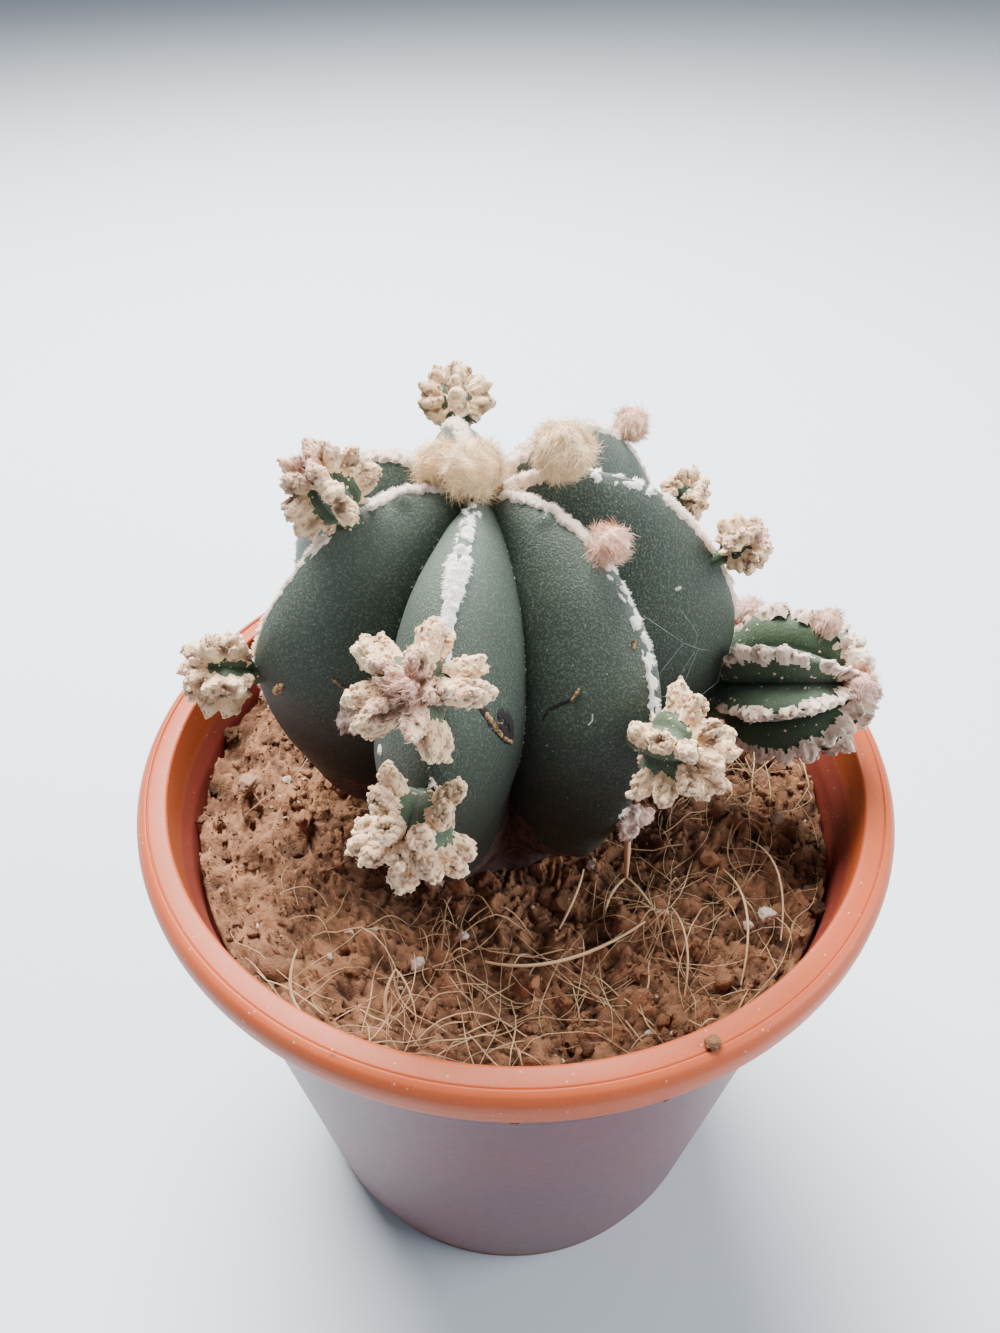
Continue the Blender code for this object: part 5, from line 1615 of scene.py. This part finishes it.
class MakeHeads(bpy.types.Operator):
    """Grow the eight side heads: green ribbed cores and crusty coats of wool"""

    bl_idname = "cactus.make_heads"
    bl_label = "Side heads"

    def execute(self, context):
        wool, skin = context.scene.cactus_wool, young_skin_material(context.scene.cactus_skin)
        crust = wool_material("head_wool", wool, (0.95, 0.74, 0.45), (0.78, 0.50, 0.31), crust=0.75)
        for number, (azimuth, angle, reach, diameter, knob) in enumerate(HEADS, start=1):
            chance = random.Random(HEAD_SEED + number)
            way = ray(azimuth, angle)
            upright = upright_on(way, chance.uniform(0, 6))
            place = Matrix.Translation(from_body_centre(azimuth, angle, reach)) @ upright
            radius = diameter / 2 * MM / COAT_SHARE
            stalk = (radius * STALK_SHARE, radius + STALK_LENGTH)
            core = ribbed_ball(f"head_{number}_core", radius, HEAD_RIBS, HEAD_FURROW, stalk, 12, 34)
            core.data.transform(place)
            look = dict(PLAIN_LOOK, **HEAD_LOOKS[number - 1])
            tufts = head_tufts(radius, knob, chance)
            for arm in range(look["arms"]):
                crest = (arm * HEAD_RIBS // look["arms"] + (0 if arm % 2 else 0.5)) * 360 / HEAD_RIBS
                tufts.append((rays(crest + 11 * math.sin(5 * arm), 70 + 14 * (arm % 3)), ARM_TUFT * radius))
            coat = crusty_coat(
                f"head_{number}_coat", radius, HEAD_RIBS, HEAD_FURROW, look, tufts, float(number * 3)
            )
            grow_coat(coat, place, look, COAT_SEED + number, wool.hair_width * 0.8, crust)
            dust_core(core, f"head_{number}_crumbs", 8e5, CORE_SEED + number, crust)
            hand_over(core, skin, "head_skin", f"offset_{number}_body")
            hand_over(coat, crust, "head_wool", f"offset_{number}_wool")
        return {"FINISHED"}


class MakeLargeHead(bpy.types.Operator):
    """Grow the large side head: deep ribs, lumpy wool along them and three woolly balls"""

    bl_idname = "cactus.make_large_head"
    bl_label = "Large side head"

    def execute(self, context):
        wool, skin = context.scene.cactus_wool, bpy.data.materials["young_green_skin"]
        crust = wool_material("large_head_wool", wool, (0.92, 0.78, 0.64), (0.76, 0.54, 0.42), crust=0.5)
        upright = upright_on(LARGE_HEAD_AXIS.normalized(), LARGE_HEAD_ROLL)
        place = Matrix.Translation(LARGE_HEAD_CENTRE) @ upright
        stalk = (LARGE_HEAD_RADIUS * 0.5, LARGE_HEAD_RADIUS * 1.25)
        core = ribbed_ball(
            "large_head_core", LARGE_HEAD_RADIUS, LARGE_HEAD_RIBS, LARGE_HEAD_FURROW, stalk, 16, 70
        )
        core.data.transform(place)
        chance = random.Random(LARGE_HEAD_SEED)
        tufts = [((0, 0, 1), LARGE_CROWN_TUFT)]
        for rib in range(LARGE_HEAD_RIBS):
            crest = (rib + 0.5) * 360 / LARGE_HEAD_RIBS
            for row in range(1, LARGE_TUFT_ROWS + 1):
                spot = rays(crest + chance.uniform(-3, 3), LARGE_TUFT_STEP * row + chance.uniform(-4, 4))
                tufts.append((spot, chance.uniform(0.5, 1.9) * MM))
        look = dict(PLAIN_LOOK, **LARGE_LOOK)
        shape = (LARGE_HEAD_RADIUS, LARGE_HEAD_RIBS, LARGE_HEAD_FURROW)
        coat = crusty_coat("large_head_coat", *shape, look, tufts, 31.0)
        grow_coat(coat, place, look, LARGE_COAT_SEED, wool.hair_width * 0.9, crust)
        dust_core(core, "large_head_crumbs", 2.5e5, LARGE_CORE_SEED, crust)
        hand_over(core, skin, "head_skin", "large_offset_body")
        hand_over(coat, crust, "head_wool", "large_offset_wool")
        pink = bpy.data.materials["pink_wool"]
        for number, (way, radius) in enumerate(LARGE_HEAD_BALLS, start=1):
            centre = LARGE_HEAD_CENTRE + Vector(way).normalized() * (LARGE_HEAD_RADIUS + 0.4 * radius * MM)
            ball = woolly_ball(f"large_head_ball_{number}", centre, radius * MM, LARGE_BALL_SEED + number,
                               wool.hair_width, pink)
            hand_over(ball, pink, "pink_wool")
        return {"FINISHED"}


class MakeBuds(bpy.types.Operator):
    """Shape the dried buds low on the body"""

    bl_idname = "cactus.make_buds"
    bl_label = "Dried buds"

    def execute(self, context):
        wool = context.scene.cactus_wool
        dried = wool_material("dried_bud", wool, (0.74, 0.56, 0.48), (0.36, 0.20, 0.14), crust=0.8)
        for number, (name, node, azimuth, angle, reach, radius) in enumerate(BUDS):
            centre = from_body_centre(azimuth, angle, reach)
            chance = random.Random(BUD_SEED + number)
            bm = bmesh.new()
            blob(bm, centre, radius * MM * 0.7, 4, 0.45, 1.4, Vector((0.1, 0.2, 1)).normalized())
            for _ in range(9):
                way = ray(chance.uniform(0, 360), chance.uniform(20, 160))
                width = radius * MM * chance.uniform(0.2, 0.42)
                blob(bm, centre + way * radius * MM * 0.7, width, 3, 0.5, 1.6, way)
            bud = object_from_bmesh(name, bm, smooth=True)
            comb_out(bud.data, centre, 0.3, (0, 0, 1))
            run_tree(
                bud, "Wool hairs", density=5e6, length=0.45 * MM, width=wool.hair_width,
                bend=0.3, taper=0.8, unruliness=0.8, segments=2, seed=BUD_HAIR_SEED + number,
                wool=dried,
            )
            hand_over(bud, dried, "dried_bud", node)
        return {"FINISHED"}


# Stage

def area_light(name, place, size, power, colour):
    """A round soft light that faces the plant."""
    lamp = bpy.data.lights.new(name, "AREA")
    lamp.shape = "DISK"
    lamp.size, lamp.energy, lamp.color = size, power, colour
    item = bpy.data.objects.new(name, lamp)
    bpy.context.scene.collection.objects.link(item)
    item.location = place
    item.rotation_euler = (Vector(LIT_SPOT) - item.location).to_track_quat("-Z", "Y").to_euler()


class MakeStage(bpy.types.Operator):
    """Set out the pale floor, the soft lights and the camera"""

    bl_idname = "cactus.make_stage"
    bl_label = "Stage"

    def execute(self, context):
        settings = context.scene.cactus_stage
        scene = context.scene
        bm = bmesh.new()
        bmesh.ops.create_circle(bm, cap_ends=True, segments=96, radius=FLOOR_RADIUS)
        floor = object_from_bmesh("floor", bm)
        material, tree, shader, place = new_material("pale_floor", 0.7, Specular_IOR_Level=0.3)
        tone = uneven_tone(tree, place, 5.0, 400.0, 0.2)[0]
        pale = blend(tree, times(tree, tone, 0.10), settings.floor, (0.54, 0.61, 0.69))
        feed(tree, shader, Base_Color=pale)
        floor.data.materials.append(material)
        area_light("window", WINDOW_PLACE, WINDOW_SIZE, settings.key, (1.0, 0.98, 0.95))
        area_light("fill", FILL_PLACE, FILL_SIZE, settings.fill, (0.95, 0.97, 1.0))
        world = bpy.data.worlds.new("pale_surroundings")
        world.use_nodes = True
        backdrop = world.node_tree.nodes["Background"]
        feed(world.node_tree, backdrop, Color=(0.80, 0.88, 1.0), Strength=settings.sky)
        scene.world = world
        lens = bpy.data.cameras.new("camera")
        lens.lens, lens.sensor_width, lens.clip_start, lens.clip_end = LENS, SENSOR, 0.001, 20
        camera = bpy.data.objects.new("camera", lens)
        scene.collection.objects.link(camera)
        camera.location = CAMERA_PLACE
        camera.rotation_euler = (math.radians(90 - CAMERA_PITCH), 0, 0)
        scene.camera = camera
        return {"FINISHED"}


OPERATORS = (
    MakePot, MakeSoil, MakeFibres, MakeBody, MakeMarks, MakeFelts, MakeWoolBalls, MakeHeads, MakeLargeHead,
    MakeBuds, MakeStage,
)


class CactusPanel(bpy.types.Panel):
    """Pieces and settings of the potted cactus"""

    bl_idname = "VIEW3D_PT_cactus"
    bl_label = "Potted cactus"
    bl_space_type = "VIEW_3D"
    bl_region_type = "UI"
    bl_category = "Cactus"

    def draw(self, context):
        for title, group in SETTINGS:
            box = self.layout.box()
            for key in group.__annotations__:
                box.prop(getattr(context.scene, title), key)
        for operator in OPERATORS:
            self.layout.operator(operator.bl_idname)


def register():
    for title, group in SETTINGS:
        bpy.utils.register_class(group)
        setattr(bpy.types.Scene, title, bpy.props.PointerProperty(type=group))
    for kind in OPERATORS + (CactusPanel,):
        bpy.utils.register_class(kind)


def unregister():
    for kind in reversed(OPERATORS + (CactusPanel,)):
        bpy.utils.unregister_class(kind)
    for title, group in reversed(SETTINGS):
        delattr(bpy.types.Scene, title)
        bpy.utils.unregister_class(group)


def main():
    register()
    for make_tree in (wool_tree, lump_tree, fibre_tree, speckle_group, tone_group):
        make_tree()
    for operator in OPERATORS:
        area, name = operator.bl_idname.split(".")
        getattr(getattr(bpy.ops, area), name)()


if __name__ == "__main__":
    main()
